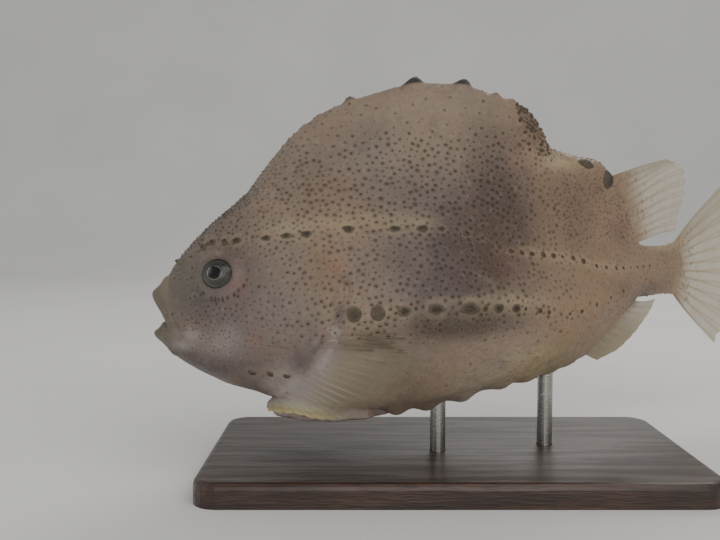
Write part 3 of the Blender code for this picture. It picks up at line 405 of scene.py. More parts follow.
# The folds of the skin, as (path, waves, how much of the path fades at each end, reach in metres). Each wave
# is (offset across the path, width, height) in metres. Positive offsets lie towards the tail.
FOLDS = (
    (GILL_EDGE, ((-0.0034, 0.0034, 0.0007), (0.0008, 0.0015, -0.0008)), 0.25, 0.010),
    (JAW_FOLD, ((0.0, 0.0010, -0.0008), (0.0028, 0.0022, 0.0006)), 0.25, 0.010),
    (BROW_FOLD, ((0.0, 0.0016, -0.0006), (-0.0034, 0.0022, 0.0006)), 0.25, 0.010),
    (FIN_BASE, ((0.0010, 0.0086, 0.0023),), 0.15, 0.024),
)
# The ridge and the furrow round the eye, as (radius, width, height) in metres.
EYE_RINGS = ((0.0108, 0.0022, 0.0003), (0.0140, 0.0016, -0.0003))


def mirrored(path):
    """A path of places from the left side to the middle, and back along the right side."""
    return list(path) + [(a, -o, u) for a, o, u in reversed(path[:-1])]


def ball(here, tailward, roundward, outward, radii, segments=24, rings=16):
    """Points and faces of a rounded lump with its own three radii."""
    lat = np.linspace(0, np.pi, rings)[1:-1]
    return capped(
        here
        + outward * (np.cos(lat) * radii[2])[:, None, None]
        + tailward * (np.sin(lat)[:, None] * np.cos(circle(segments)) * radii[0])[..., None]
        + roundward * (np.sin(lat)[:, None] * np.sin(circle(segments)) * radii[1])[..., None]
    )


def ring(here, tailward, roundward, outward, major, minor, count=64, sides=12):
    """Points and faces of a ring that lies on the skin, 1.3 times as wide as it is high."""
    turns, tilt = circle(count), circle(sides)
    arms = tailward * np.cos(turns)[:, None] + roundward * np.sin(turns)[:, None]
    points = (here + arms * major)[:, None] + minor * (
        arms[:, None] * np.cos(tilt)[None, :, None] * 1.3 + outward * np.sin(tilt)[None, :, None])
    return points.reshape(-1, 3), grid_faces(count + 1, sides) % (count * sides)


def rounded(corners, steps=6):
    """Smooth closed rings through the corners of many polygons."""
    before, here, after, beyond = (np.roll(corners, shift, axis=1)[:, :, None] for shift in (1, 0, -1, -2))
    t = (np.arange(steps) / steps)[None, None, :, None]
    third = 3 * (here - after) + beyond - before
    second = 2 * before - 5 * here + 4 * after - beyond
    rings = here + 0.5 * t * (after - before + t * (second + t * third))
    return rings.reshape(len(corners), -1, 3)


def lip(edge, front, lift):
    """Points and faces of a fleshy lip, from its border with the face over its front to the mouth."""
    shares = np.linspace(0, 1, 81)
    line = [(along, out, up + lift) for along, out, up in MOUTH_LINE]
    outer, front, inner = (
        curve([place(*spot) for spot in mirrored(path)])(shares) for path in (edge, front, line)
    )
    middle = (outer + inner) / 2
    inward = unit((place(*MOUTH_CORE) - middle) * (1, 1, 0))
    corners = [outer, (outer + front) / 2, front, (front + inner) / 2, inner, middle + inward * LIP_DEPTH]
    return capped(rounded(np.stack(corners, 1)))


def mound(here, tailward, roundward, outward, half, across, height):
    """Points and faces of a low peaked mound on the edge of the crest, its top leaning to the rear."""
    turns = circle(24)
    flat = tailward * (np.cos(turns) * half)[:, None] + roundward * (np.sin(turns) * across)[:, None]
    return capped([
        here + flat * reach + outward * lift * height + tailward * lean * half
        for reach, lift, lean in MOUND_OUTLINE
    ])


def flesh_forms():
    """The rounded forms that are fused with the body, such as lips, lids, nose tubes and mounds."""
    shapes = [lip(*UPPER_LIP, LIP_PARTING), lip(*LOWER_LIP, -LIP_PARTING)]
    for side in (LEFT, RIGHT):
        here, tailward, roundward, outward = on_flank(EYE_AT, side)
        lid = EYE_SHOWS + 0.0010
        shapes.append(ring(here - outward * 0.0005, tailward * EYE_LONG, roundward, outward, lid, 0.0013))
        here, tailward, roundward, outward = on_flank(NOSE_TUBE_AT, side)
        path = [here + outward * deep for deep in (-0.003, -0.001, 0.0010)]
        shapes.append(tube(path, NOSE_TUBE_RADII))
        here, tailward, roundward, outward = on_flank(FIN_BASE[0], side)
        shapes.append(ball(here + outward * 0.0008, tailward, roundward, outward, FIN_KNOB_RADII))
        shapes += [ball(*on_flank(spot, side), radii) for spot, radii in CORNER_FOLDS]
    for along, half, height in CREST_ROW:
        shapes.append(mound(*on_skin(along, 0.0, LEFT), 0.001 * half, 0.00085 * half, 0.001 * height))
    return shapes


def mouth_cavity():
    """The hollow of the half-open mouth, widest at the front and closing towards the corners."""
    path = curve([place(*spot) for spot in mirrored(MOUTH_LINE)])(np.linspace(0, 1, 61))
    rings = []
    for spot, share in zip(path, 1 - np.abs(np.linspace(-1, 1, 61))):
        inward = unit((place(*MOUTH_CORE) - spot) * (1, 1, 0))
        half, depth = (least + more * share for least, more in (MOUTH_HALF, MOUTH_DEPTH))
        outline = [(-0.008, 1.6), (0.0, 1.0), (0.5 * depth, 0.75), (0.85 * depth, 0.45), (depth, 0.0)]
        outline += [(deep, -lift) for deep, lift in outline[-2::-1]]
        rings.append([spot + inward * deep + np.array([0, 0, half * lift]) for deep, lift in outline])
    return capped(rings)


def closed_shell(name, points, faces):
    """A mesh object with the faces of each of its closed surfaces turned outwards."""
    obj = mesh_object(name, points, faces)
    shell = bmesh.new()
    shell.from_mesh(obj.data)
    bmesh.ops.recalc_face_normals(shell, faces=shell.faces)
    shell.to_mesh(obj.data)
    shell.free()
    return obj


def apply_modifiers(obj):
    """Replaces an object's mesh with its evaluated one."""
    bpy.context.view_layer.update()
    fresh = bpy.data.meshes.new_from_object(obj.evaluated_get(bpy.context.evaluated_depsgraph_get()))
    obj.modifiers.clear()
    obj.data = fresh


def combine(obj, operation, others):
    """Adds or takes away closed objects, which are then removed."""
    group = bpy.data.collections.new("forms")
    bpy.context.scene.collection.children.link(group)
    for other in others:
        bpy.context.scene.collection.objects.unlink(other)
        group.objects.link(other)
    step = obj.modifiers.new("combine", "BOOLEAN")
    step.operation = operation
    step.solver = "MANIFOLD"
    step.operand_type = "COLLECTION"
    step.collection = group
    apply_modifiers(obj)
    for other in others:
        bpy.data.objects.remove(other)
    bpy.data.collections.remove(group)


def co(mesh):
    """The points of a mesh as an array."""
    points = np.empty(len(mesh.vertices) * 3, np.float32)
    mesh.vertices.foreach_get("co", points)
    return points.reshape(-1, 3).astype(float)


def set_co(mesh, points):
    """Moves the points of a mesh."""
    mesh.vertices.foreach_set("co", np.asarray(points, np.float32).ravel())
    mesh.update()


def normals(mesh):
    """The normals at the points of a mesh as an array."""
    found = np.empty(len(mesh.vertices) * 3, np.float32)
    mesh.vertex_normals.foreach_get("vector", found)
    return found.reshape(-1, 3).astype(float)


def put(mesh, **values):
    """Stores an array on a mesh as an attribute of its points, one for each name."""
    for name, value in values.items():
        full = np.ascontiguousarray(np.broadcast_to(value, len(mesh.vertices)), np.float32)
        mesh.attributes.new(name, "FLOAT", "POINT").data.foreach_set("value", full)


def nearest(points, targets):
    """For each point, the index of the nearest target and the distance to it."""
    tree = KDTree(len(targets))
    for i, target in enumerate(targets):
        tree.insert(target, i)
    tree.balance()
    found = [tree.find(point)[1:] for point in points.tolist()]
    return np.array([f[0] for f in found]), np.array([f[1] for f in found])


def dots(first, second):
    """The dot product of each row of one array with that row of the other."""
    return np.einsum("ij,ij->i", first, second)


def body_places(points):
    """For points near the skin, their places as along, way round, up, and side."""
    rows, columns = MARKS.shape[:2]
    i, j = np.divmod(nearest(points, RINGS.reshape(-1, 3).tolist())[0], columns)
    after, before = np.minimum(i + 1, rows - 1), np.maximum(i - 1, 0)

    def share(span):
        return np.clip(dots(points - RINGS[i, j], span) / np.maximum(dots(span, span), 1e-12), -1, 1)

    ahead = RINGS[after, j] - RINGS[before, j]
    below = RINGS[i, (j + 1) % columns] - RINGS[i, (j - 1) % columns]
    along, way, side = MARKS[i, j].T
    along = along + share(ahead) * (MARKS[after, j, 0] - MARKS[before, j, 0])
    way = way + share(below) * 2 / GRID_HALF * side
    return along, np.clip(way, 0, 1), (points[:, 2] - SNOUT_Z) / LENGTH, side


def fold(points, path, side, waves, ends, reach):
    """How far a fold moves each point outwards, in metres. FOLDS tells what its settings are."""
    shares = np.linspace(0, 1, 48)
    spots = [on_flank((a, u), side) for a, u, _ in curve([(a, u, 0) for a, u in path])(shares)]
    line, tailward, _, outward = (np.array(column) for column in zip(*spots))
    across = np.cross(outward, np.gradient(line, axis=0))
    across = unit(across * np.sign(dots(across, tailward))[:, None])
    close = np.nonzero(np.all((points > line.min(0) - reach) & (points < line.max(0) + reach), axis=1))[0]
    index, distance = nearest(points[close], line.tolist())
    offset, share = dots(points[close] - line[index], across[index]), shares[index]
    fade = soft_step(0, ends, share) * soft_step(0, ends, 1 - share)
    fade = fade * soft_step(reach, 0.4 * reach, distance)
    moved = np.zeros(len(points))
    for middle, width, height in waves:
        moved[close] += height * fade * bell(offset - middle, width)
    return moved


def crumple(points, size, seed=0.0):
    """Smooth noise between about -1 and 1 at each point, with lumps of about that size."""
    shift = Vector((seed * 7.3, seed * 3.1, seed * 5.7))
    return np.array([noise.noise(Vector(point) / size + shift) for point in points.tolist()])


def make_skin():
    """The one skin over the head, torso, crest and tail stalk, and the places of its points."""
    skin = closed_shell("skin", *capped(RINGS))
    combine(skin, "UNION", [closed_shell("form", *shape) for shape in flesh_forms()])
    combine(skin, "DIFFERENCE", [closed_shell("mouth", *mouth_cavity())])
    remesh = skin.modifiers.new("remesh", "REMESH")
    remesh.mode = "VOXEL"
    remesh.voxel_size = VOXEL
    smooth = skin.modifiers.new("smooth", "CORRECTIVE_SMOOTH")
    smooth.iterations = 4
    smooth.use_only_smooth = True
    apply_modifiers(skin)
    points, out = co(skin.data), normals(skin.data)
    along, way, up, side = body_places(points)
    calm = 1 - soft_step(0.05, 0.02, along)
    (long_wave, long_size), (short_wave, short_size) = SKIN_WAVES
    lift = long_wave * crumple(points, long_size) + short_wave * calm * crumple(points, short_size, 1)
    for half in (LEFT, RIGHT):
        for path, waves, ends, reach in FOLDS:
            lift += fold(points, path, half, waves, ends, reach)
        for spot in LOWER_ROW:
            middle = on_flank((spot, float(lower_up(spot)) - LOWER_ROW_DROP), half)[0]
            far = np.linalg.norm(points - middle, axis=1)
            lift += (KNOB_HEIGHT - KNOB_FALL * (spot - KNOB_FROM)) * bell(far, KNOB_WIDTH)
        far = np.linalg.norm(points - on_flank(EYE_AT, half)[0], axis=1)
        for radius, width, height in EYE_RINGS:
            lift += height * bell(far - radius, width)
    lift += HUMP_LIFT * near_spot(along, up, HUMP_AT, float(top_up(HUMP_AT)), 0.024, 0.020)
    set_co(skin.data, points + out * lift[:, None])
    return skin, (along, way, up, side)


def from_eye_distance(along, up):
    """How far places are from the middle of the eye, as a share of LENGTH."""
    return np.hypot(along - EYE_AT[0], up - EYE_AT[1])


def near_spot(along, up, at_along, at_up, half_long, half_high):
    """A soft oval patch, 1 at its middle and fading to 0."""
    return bell(along - at_along, half_long) * bell(up - at_up, half_high)


def patches(rows, along, up):
    """Soft oval patches added up, as (strength, along, up, half length, half height), the last four in
    thousandths of LENGTH."""
    return sum(strength * near_spot(along, up, *(size / 1000 for size in spot)) for strength, *spot in rows)


# The body's marks, as rows for patches. Some are painted shade and painted light, as told at each.
PATCHES = {
    "pale": (
        (0.45, 49, -61, 15, 9), (0.55, 64, -44, 18, 13), (0.20, 94, -60, 30, 14), (0.12, 110, -75, 50, 25),
        (0.45, 115, -40, 24, 20), (0.16, 180, -10, 35, 45), (0.95, 208, -112, 42, 30),
        (0.78, 249, -64, 19, 34), (0.90, 257, -31, 7, 8), (0.40, 505, -72, 55, 34),
    ),
    "dark": (
        # The first two patches here darken the chin: painted shade under the jaw.
        (0.25, 50, -76, 16, 10), (0.55, 60, -80, 40, 14), (0.25, 85, -22, 30, 20),
        (0.35, 100, 125, 60, 50), (0.40, 119, 66, 14, 12), (0.25, 122, 72, 20, 18),
        (0.20, 240, 40, 35, 35), (0.35, 240, 168, 55, 45), (0.25, 300, 240, 60, 25),
        (0.38, 365, -105, 40, 30), (0.30, 370, 50, 60, 50), (0.15, 400, 140, 70, 60),
        (0.50, 430, 66, 26, 50), (0.55, 466, 44, 28, 38), (1.30, 493, 118, 50, 95),
        (0.30, 500, 235, 70, 45), (0.85, 560, 255, 24, 32), (0.45, 610, 130, 65, 75),
        (0.15, 665, 165, 50, 30), (0.30, 675, 163, 12, 8), (0.35, 690, 12, 35, 14),
        # The last patch here is painted shade under the tail stalk.
        (0.40, 716, 96, 28, 22), (0.75, 805, -7, 85, 22),
    ),
    "dusk": (
        # The first patch here and the first on the next line darken the chin: painted shade under the jaw.
        (1.00, 52, -80, 28, 14), (0.35, 55, 24, 20, 30), (0.45, 77, 10, 24, 15), (0.35, 80, 52, 14, 22),
        (0.80, 92, -88, 60, 22), (0.30, 100, 110, 60, 45), (0.62, 120, -10, 90, 80),
        # The last patch on this line and the first two on the next are painted shadow in the crease along
        # the rear edge of the gill cover, beside the fin's base.
        (0.28, 145, 45, 30, 45), (0.50, 156, -114, 26, 14), (0.95, 212, -70, 16, 18),
        (0.85, 236, -44, 12, 18), (0.75, 264, -6, 10, 18), (0.50, 370, 55, 70, 55),
        (0.60, 380, 24, 22, 18), (0.50, 388, 150, 95, 45), (2.60, 426, 70, 27, 50),
    ),
    "warm": (
        (0.45, 245, 160, 60, 50), (0.80, 250, 52, 24, 45), (0.60, 300, 113, 75, 20),
        (0.68, 500, -70, 60, 40),
    ),
    "light": (
        # The last patch here is a painted highlight on the ridge just above the middle row.
        (0.35, 252, -2, 10, 30), (0.30, 480, -115, 60, 30), (0.45, 500, 8, 35, 12),
        # The first patch here is painted light on the underside of the rear belly.
        (1.10, 550, -90, 55, 36), (1.10, 602, 206, 38, 15),
    ),
    "moss": (
        (0.80, 10, -15, 34, 60), (0.45, 18, -60, 26, 20), (0.50, 46, 60, 14, 12), (0.75, 60, 35, 30, 30),
        (0.30, 86, 60, 16, 20), (0.25, 100, 125, 50, 40),
    ),
    "rose": (
        (0.40, 130, 30, 14, 14), (0.35, 160, -45, 20, 20), (0.35, 246, -36, 10, 20),
        (0.30, 257, -31, 8, 8), (0.55, 264, 55, 12, 14), (0.20, 500, 60, 20, 40), (0.35, 535, 208, 22, 18),
        (0.30, 700, 118, 60, 35),
    ),
}
# Soft stripes that follow a row, as (marking, strength, first, last, row, shift up, width).
BANDS = (
    # Painted shade on the flank under the ridge of the middle row.
    ("dark", 1.00, 0.36, 0.49, middle_up, -0.024, 0.021),
    # Painted highlight along the ridge above the middle row.
    ("light", 0.25, 0.39, 0.56, middle_up, 0.012, 0.0055),
    ("light", 0.45, 0.17, 0.40, upper_up, 0.010, 0.012),
    ("light", 0.35, 0.52, 0.74, upper_up, -0.002, 0.009),
    ("moss", 0.35, 0.34, 0.48, middle_up, -0.018, 0.012),
)
# The usual distance between tubercles in metres, and where there are none: round the eye and before that
# place along the body, as shares of LENGTH, and on the belly beyond that far round the half-section.
TUBERCLE_GAP, BARE_ROUND_EYE, BARE_BEFORE, BARE_BELLY = 0.0028, 0.037, 0.030, 0.93
# Where the tubercles are closer together or farther apart, by metres, and where they are larger or smaller,
# as rows for patches.
TUBERCLE_GAPS = (
    (-0.0007, 82, -36, 34, 28), (-0.0004, 520, 190, 45, 60), (-0.0012, 415, -35, 50, 14),
    (0.0016, 612, 200, 40, 26), (0.0018, 255, 245, 50, 32),
)
TUBERCLE_SIZES = (
    (0.30, 755, 125, 30, 45), (0.22, 105, 135, 35, 35), (0.20, 360, 165, 170, 60),
    (-0.35, 415, -35, 50, 14),
)
# How far along the upper lip's border with the face is, by height.
lip_border = smooth_curve((
    (-0.044, 0.046), (-0.026, 0.040), (-0.008, 0.033), (0.010, 0.027), (0.035, 0.022),
))


def band(along, up, first, last, middle, width):
    """A soft stripe along the body between two places. The middle is how high it lies at each point."""
    ends = soft_step(first - 0.03, first + 0.03, along) * soft_step(last + 0.05, last - 0.05, along)
    return ends * bell(up - middle, width)


def markings_and_painted_light(along, up):
    """How strong each of the body's marks, painted shade and painted light is at places on the skin."""
    found = {name: patches(rows, along, up) for name, rows in PATCHES.items()}
    for name, strength, first, last, row, shift, width in BANDS:
        found[name] += strength * band(along, up, first, last, row(along) + shift, width)
    found["pale"] += 0.45 * soft_step(-0.06, -0.13, up) * soft_step(0.40, 0.47, along)
    found["pale"] += 0.08 * bell(from_eye_distance(along, up) - 0.029, 0.008)
    found["warm"] += 0.85 * soft_step(0.49, 0.57, along) * soft_step(-0.17, -0.10, up)
    found["moss"] += 0.40 * soft_step(0.11, 0.05, along) * soft_step(-0.07, -0.10, up)
    below_edge = up - top_up(along)
    lip_line = soft_step(0.0080, 0.0010, np.abs(along - lip_border(up)))
    found["light"] += 0.50 * soft_step(0.75, 0.82, along) * soft_step(-0.016, -0.005, below_edge)
    found["light"] += 0.45 * soft_step(0.92, 0.97, along) + 0.22 * lip_line * soft_step(-0.035, -0.015, up)
    black = np.zeros(len(along))
    for middle, half, height in CREST_ROW:
        near = soft_step(1.25, 0.85, np.abs(along - middle) * LENGTH * 1000 / half)
        black += near * soft_step(-0.0045, 0.0010, below_edge) * min(1.0, 0.6 * max(height - 1.2, 0))
    return {**found, "black": np.clip(black, 0, 1)}


def tubercle_gap(along, way, up):
    """The smallest distance between tubercles at places on the skin, or 0 where there are none."""
    gap = np.full(len(along), TUBERCLE_GAP)
    gap += 0.0045 * soft_step(0.225, 0.285, up) * soft_step(0.27, 0.36, along) * soft_step(0.56, 0.52, along)
    head, rear = soft_step(0.27, 0.17, along), soft_step(0.55, 0.62, along)
    gap -= 0.0008 * head * soft_step(0.04, 0.10, up) + 0.0004 * head * soft_step(0.03, -0.01, up)
    gap += 0.0020 * soft_step(-0.075, -0.105, up) + 0.0005 * soft_step(0.56, 0.70, along)
    gap += 0.0022 * soft_step(-0.025, -0.05, up) * soft_step(0.30, 0.36, along)
    gap += rear * (0.0012 * soft_step(0.06, 0.03, up) - 0.0012 * soft_step(0.080, 0.100, up))
    gap += patches(TUBERCLE_GAPS, along, up)
    bare = (from_eye_distance(along, up) < BARE_ROUND_EYE) | (along < BARE_BEFORE) | (way > BARE_BELLY)
    bare |= (near_spot(along, up, 0.240, -0.085, 0.050, 0.045) > 0.35) & (along > 0.19)
    bare |= near_spot(along, up, 0.058, -0.050, 0.014, 0.014) > 0.4
    bare |= (up < 0.035) & (up > -0.012) & (along < 0.062) | (up < -0.02) & (along < 0.052)
    gap[bare] = 0
    return gap


def tubercle_size(along, up):
    """How large the tubercles are at places on the skin, as a share of the largest."""
    size = 1 - 0.24 * soft_step(0.24, 0.16, along) - 0.22 * soft_step(0.55, 0.64, along)
    size += patches(TUBERCLE_SIZES, along, up)
    size -= 0.25 * soft_step(-0.02, -0.06, up)
    size -= 0.20 * soft_step(0.22, 0.28, up) * soft_step(0.57, 0.50, along)
    return np.maximum(size, 0.42)


def scatter(points, gaps, seed):
    """Picks points in a seeded random order so that no two are closer than the gap at the later one."""
    tree = KDTree(len(points))
    for i, point in enumerate(points.tolist()):
        tree.insert(point, i)
    tree.balance()
    taken = np.zeros(len(points), bool)
    for i in np.random.default_rng(seed).permutation(np.nonzero(gaps > 0)[0]).tolist():
        if not any(taken[j] for _, j, _ in tree.find_range(points[i], gaps[i])):
            taken[i] = True
    return np.nonzero(taken)[0]


# A tubercle's outline from its root to its tip: radius and height as shares, and how dark it is there.
TUBERCLE = ((1.30, -0.45, 0.0), (1.00, 0.10, 0.25), (0.64, 0.62, 0.85), (0.26, 0.92, 1.0))
TUBERCLE_SIDES = 6
# The radius of a tubercle's patch on the map.
PATCH = 0.0015
# What share of the tubercles is small, from what share on they are the largest, and the radii of each kind
# in metres, as (least, spread).
SMALL_BELOW, LARGE_FROM = 0.36, 0.95
SMALL, USUAL, LARGE = (0.00034, 0.00016), (0.00055, 0.00025), (0.00082, 0.00016)


def tubercles(name, roots, outward, ahead, radius, height, stretch, places, marks):
    """Many small cones with rounded tips as one mesh, with the skin's marks, painted shade and painted light
    at their roots.
    """
    count, sides, tiers = len(roots), TUBERCLE_SIDES, len(TUBERCLE)
    turns = circle(sides)
    around = np.cross(outward, ahead)
    points, tips = [roots - outward * (0.45 * height)[:, None]], [0.0]
    for reach, lift, tip in TUBERCLE:
        for turn in turns:
            flat = ahead * (np.cos(turn) * stretch)[:, None] + around * np.sin(turn)
            points.append(roots + flat * (reach * radius)[:, None] + outward * (lift * height)[:, None])
            tips.append(tip)
    points.append(roots + outward * height[:, None])
    tips.append(1.0)
    each = len(points)
    quads = 1 + grid_faces(tiers, sides)
    last = 1 + (tiers - 1) * sides
    ends = [(last + j, last + (j + 1) % sides, each - 1) for j in range(sides)]
    ends += [(0, 1 + (j + 1) % sides, 1 + j) for j in range(sides)]
    base = (np.arange(count) * each)[:, None, None]
    faces = (base + quads).reshape(-1, 4).tolist() + (base + np.array(ends)).reshape(-1, 3).tolist()
    obj = mesh_object(name, np.stack(points, 1).reshape(-1, 3), faces)
    mesh = obj.data
    put(mesh, tip=np.tile(tips, count), **{key: np.repeat(value, each) for key, value in marks.items()})

    # The map of each cone is a small patch, with its underside laid beside it.
    along, way, side = places
    middle = np.stack([0.02 + 0.96 * along, 0.5 + side * (0.01 + 0.47 * way)], -1)
    spread_out = np.array([0.0, *np.repeat(PATCH * (0.95 - 0.28 * np.arange(tiers)), sides), 0.0])
    angle = np.array([0.0, *np.tile(turns, tiers), 0.0])
    patch = np.stack([spread_out * np.cos(angle), spread_out * np.sin(angle)], -1)
    corner = np.empty(len(mesh.loops), np.int32)
    mesh.loops.foreach_get("vertex_index", corner)
    flat_map = (middle[:, None] + patch).reshape(-1, 2)[corner]
    ends_from = -3 * count * 2 * sides
    under = corner[ends_from:].reshape(count, 2 * sides, 3)[:, sides:] % each
    aside = np.array([1.5 * PATCH, 0.0]) + 0.25 * patch[under]
    flat_map[ends_from:].reshape(count, 2 * sides, 3, 2)[:, sides:] = middle[:, None, None] + aside
    mesh.uv_layers.new(name="OFBake").data.foreach_set("uv", flat_map.astype(np.float32).ravel())
    return obj


class Look:
    """A material and short ways to add nodes to it."""

    def __init__(self, name, **values):
        self.material = bpy.data.materials.new(name)
        self.material.use_nodes = True
        self.tree = self.material.node_tree
        self.shader = next(node for node in self.tree.nodes if node.type == "BSDF_PRINCIPLED")
        self.place = self.tree.nodes.new("ShaderNodeTexCoord").outputs["Object"]
        for socket, value in values.items():
            self.shader.inputs[socket.replace("_", " ").title().replace("Ior", "IOR")].default_value = value

    def node(self, kind, output=0, inputs=(), **settings):
        """Adds a node, sets it up and fills its inputs, and gives one of its outputs."""
        node = self.tree.nodes.new("ShaderNode" + kind)
        for key, value in settings.items():
            setattr(node, key, value)
        for socket, value in inputs:
            if isinstance(value, bpy.types.NodeSocket):
                self.tree.links.new(value, node.inputs[socket])
            else:
                node.inputs[socket].default_value = value
        return node.outputs[output]

    def mark(self, name):
        """The value that the mesh holds under that name."""
        return self.node("Attribute", "Fac", attribute_name=name)

    def math(self, operation, *values, clamp=True):
        """A sum, product or other operation, kept between 0 and 1 where clamp is true."""
        return self.node("Math", 0, enumerate(values), operation=operation, use_clamp=clamp)

    def product(self, first, *others):
        """Values multiplied, kept between 0 and 1."""
        for other in others:
            first = self.math("MULTIPLY", first, other)
        return first

    def noise(self, size, low=0.35, high=0.65, detail=3.0, place=None):
        """Smooth patches of about that size in metres, as 0 to 1."""
        inputs = (("Vector", place or self.place), ("Scale", 1 / size), ("Detail", detail))
        return self.ramp(self.node("TexNoise", 0, inputs), low, high)

    def stretched(self, *scale):
        """The places, stretched along the axes."""
        return self.node("Mapping", 0, (("Vector", self.place), ("Scale", scale)))

    def ramp(self, value, low, high, start=0.0, end=1.0):
        """A value turned into a soft step."""
        inputs = zip(("Value", "From Min", "From Max", "To Min", "To Max"), (value, low, high, start, end))
        return self.node("MapRange", 0, inputs, interpolation_type="SMOOTHSTEP")

    def mix(self, first, second, *shares):
        """One colour over another, by the product of the shares."""
        inputs = [(0, self.product(*shares))]
        for socket, colour in ((6, first), (7, second)):
            inputs.append((socket, colour if isinstance(colour, bpy.types.NodeSocket) else (*colour, 1)))
        return self.node("Mix", 2, inputs, data_type="RGBA")

    def bump(self, *layers):
        """Relief from (height, distance) layers."""
        normal = None
        for height, distance in layers:
            inputs = [("Height", height), ("Distance", distance), ("Strength", 1.0)]
            normal = self.node("Bump", 0, inputs + ([("Normal", normal)] if normal else []))
        self.tree.links.new(normal, self.shader.inputs["Normal"])

    def finish(self, colour, rough, low, high):
        """Joins the colour and the roughness, from low to high, to the shader."""
        self.tree.links.new(colour, self.shader.inputs["Base Color"])
        self.tree.links.new(self.ramp(rough, 0, 1, low, high), self.shader.inputs["Roughness"])
        return self.material


def paint(red, green, blue):
    """A screen colour, from 0 to 255, as the shader's linear values."""
    shares = (red / 255, green / 255, blue / 255)
    return tuple(v / 12.92 if v < 0.0404 else ((v + 0.055) / 1.055) ** 2.4 for v in shares)


TAUPE, GREY, WARM = paint(140, 122, 104), paint(126, 113, 101), paint(144, 118, 92)
PALE, DARK, DUSK = paint(163, 154, 149), paint(80, 63, 52), paint(89, 76, 76)
LIGHT, ROSE, MOSS = paint(166, 149, 118), paint(150, 108, 94), paint(92, 88, 72)
TUBERCLE_TIP, SCUTE, OLIVE = paint(62, 50, 43), paint(40, 37, 32), paint(84, 72, 57)
OLIVE_DARK, LIME, RUST = paint(54, 45, 36), paint(112, 105, 92), paint(82, 60, 47)
WEB_PALE, WEB_OLIVE, WEB_DULL = paint(191, 185, 173), paint(144, 133, 112), paint(140, 132, 113)
RAY_TAN, RAY_OLIVE, FIN_SPOT = paint(170, 152, 120), paint(156, 146, 126), paint(84, 70, 58)
GOLD, GOLD_DEEP, MILK = paint(194, 179, 130), paint(172, 158, 112), paint(172, 165, 152)
IRIS_DARK, IRIS, EYE_RING = paint(35, 34, 33), paint(69, 68, 62), paint(140, 132, 112)
PUPIL, EYE_RIM, STREAK = paint(6, 5, 8), paint(24, 24, 25), paint(60, 50, 40)
# The body's colours over its ground, as (colour, marking, size of the noise that breaks it up, its low end).
BODY_TINTS = (
    (WARM, "warm", 0.040, 0.0), (DUSK, "dusk", 0.022, 0.0), (DARK, "dark", 0.022, 0.05),
    (MOSS, "moss", 0.018, -0.1), (PALE, "pale", 0.016, -0.1), (LIGHT, "light", 0.010, 0.1),
    (ROSE, "rose", 0.012, 0.15), (SCUTE, "black", 0.003, -0.4),
)
# The fine speckling over them, as (colour, size, low, high, strength).
BODY_SPECKS = (
    (DUSK, 0.0085, 0.50, 0.76, 0.28), (ROSE, 0.0130, 0.56, 0.80, 0.15), (DARK, 0.0021, 0.50, 0.75, 0.25),
    (PALE, 0.0033, 0.55, 0.80, 0.22),
)


def body_colour(look):
    """The skin's colour at a place, which the skin, the tubercles and the roots of the fins share."""
    colour = look.mix(GREY, TAUPE, look.noise(0.034, 0.28, 0.62, detail=4.0))
    for tint, name, size, low in BODY_TINTS:
        colour = look.mix(colour, tint, look.mark(name), look.noise(size, low, low + 0.5))
    for tint, size, low, high, strength in BODY_SPECKS:
        colour = look.mix(colour, tint, look.noise(size, low, high), strength)
    return colour


def skin_look(name, tips=False):
    """Damp, slightly rough skin. With tips it darkens towards the tips of the tubercles."""
    look = Look(name, subsurface_weight=0.12, subsurface_scale=0.004, specular_ior_level=0.35)
    look.shader.inputs["Subsurface Radius"].default_value = (1.0, 0.55, 0.4)
    colour = body_colour(look)
    if tips:
        tip = look.mix(TUBERCLE_TIP, RUST, look.mark("warm"), 0.85)
        colour = look.mix(colour, tip, look.mark("tip"), look.mark("tone"))
    else:
        for tint, mark, strength in ((PALE, "rim", 0.08), (LIGHT, "halo", 0.16), (DARK, "spot", 0.62)):
            colour = look.mix(colour, tint, look.mark(mark), strength)
    grain = look.noise(0.00075, 0.25, 0.75, detail=2.0)
    wrinkle = look.noise(0.0034, 0.2, 0.8)
    look.bump((wrinkle, 0.00030), (grain, 0.00010))
    return look.finish(colour, wrinkle, 0.42, 0.60)


def plate_look():
    """Bony plates: olive grey, darker in the middle, some nearly black, with skin round the foot."""
    look = Look("plate", specular_ior_level=0.3)
    tip = look.mark("tip")
    middle, edge = look.ramp(tip, 0.55, 1.0), look.ramp(tip, -0.15, look.mark("soft"))
    bone = look.mix(OLIVE, LIME, look.noise(0.0026, 0.35, 0.70), 0.40)
    bone = look.mix(bone, OLIVE_DARK, middle, look.noise(0.0013, 0.25, 0.55), look.mark("core"))
    bone = look.mix(bone, RUST, look.mark("warm"), look.mark("small"))
    bone = look.mix(bone, SCUTE, look.mark("scute"))
    colour = look.mix(body_colour(look), bone, edge, look.noise(0.0015, 0.0, 0.45))
    pits = look.noise(0.0009, 0.3, 0.7)
    look.bump((pits, 0.00016))
    return look.finish(colour, pits, 0.44, 0.62)


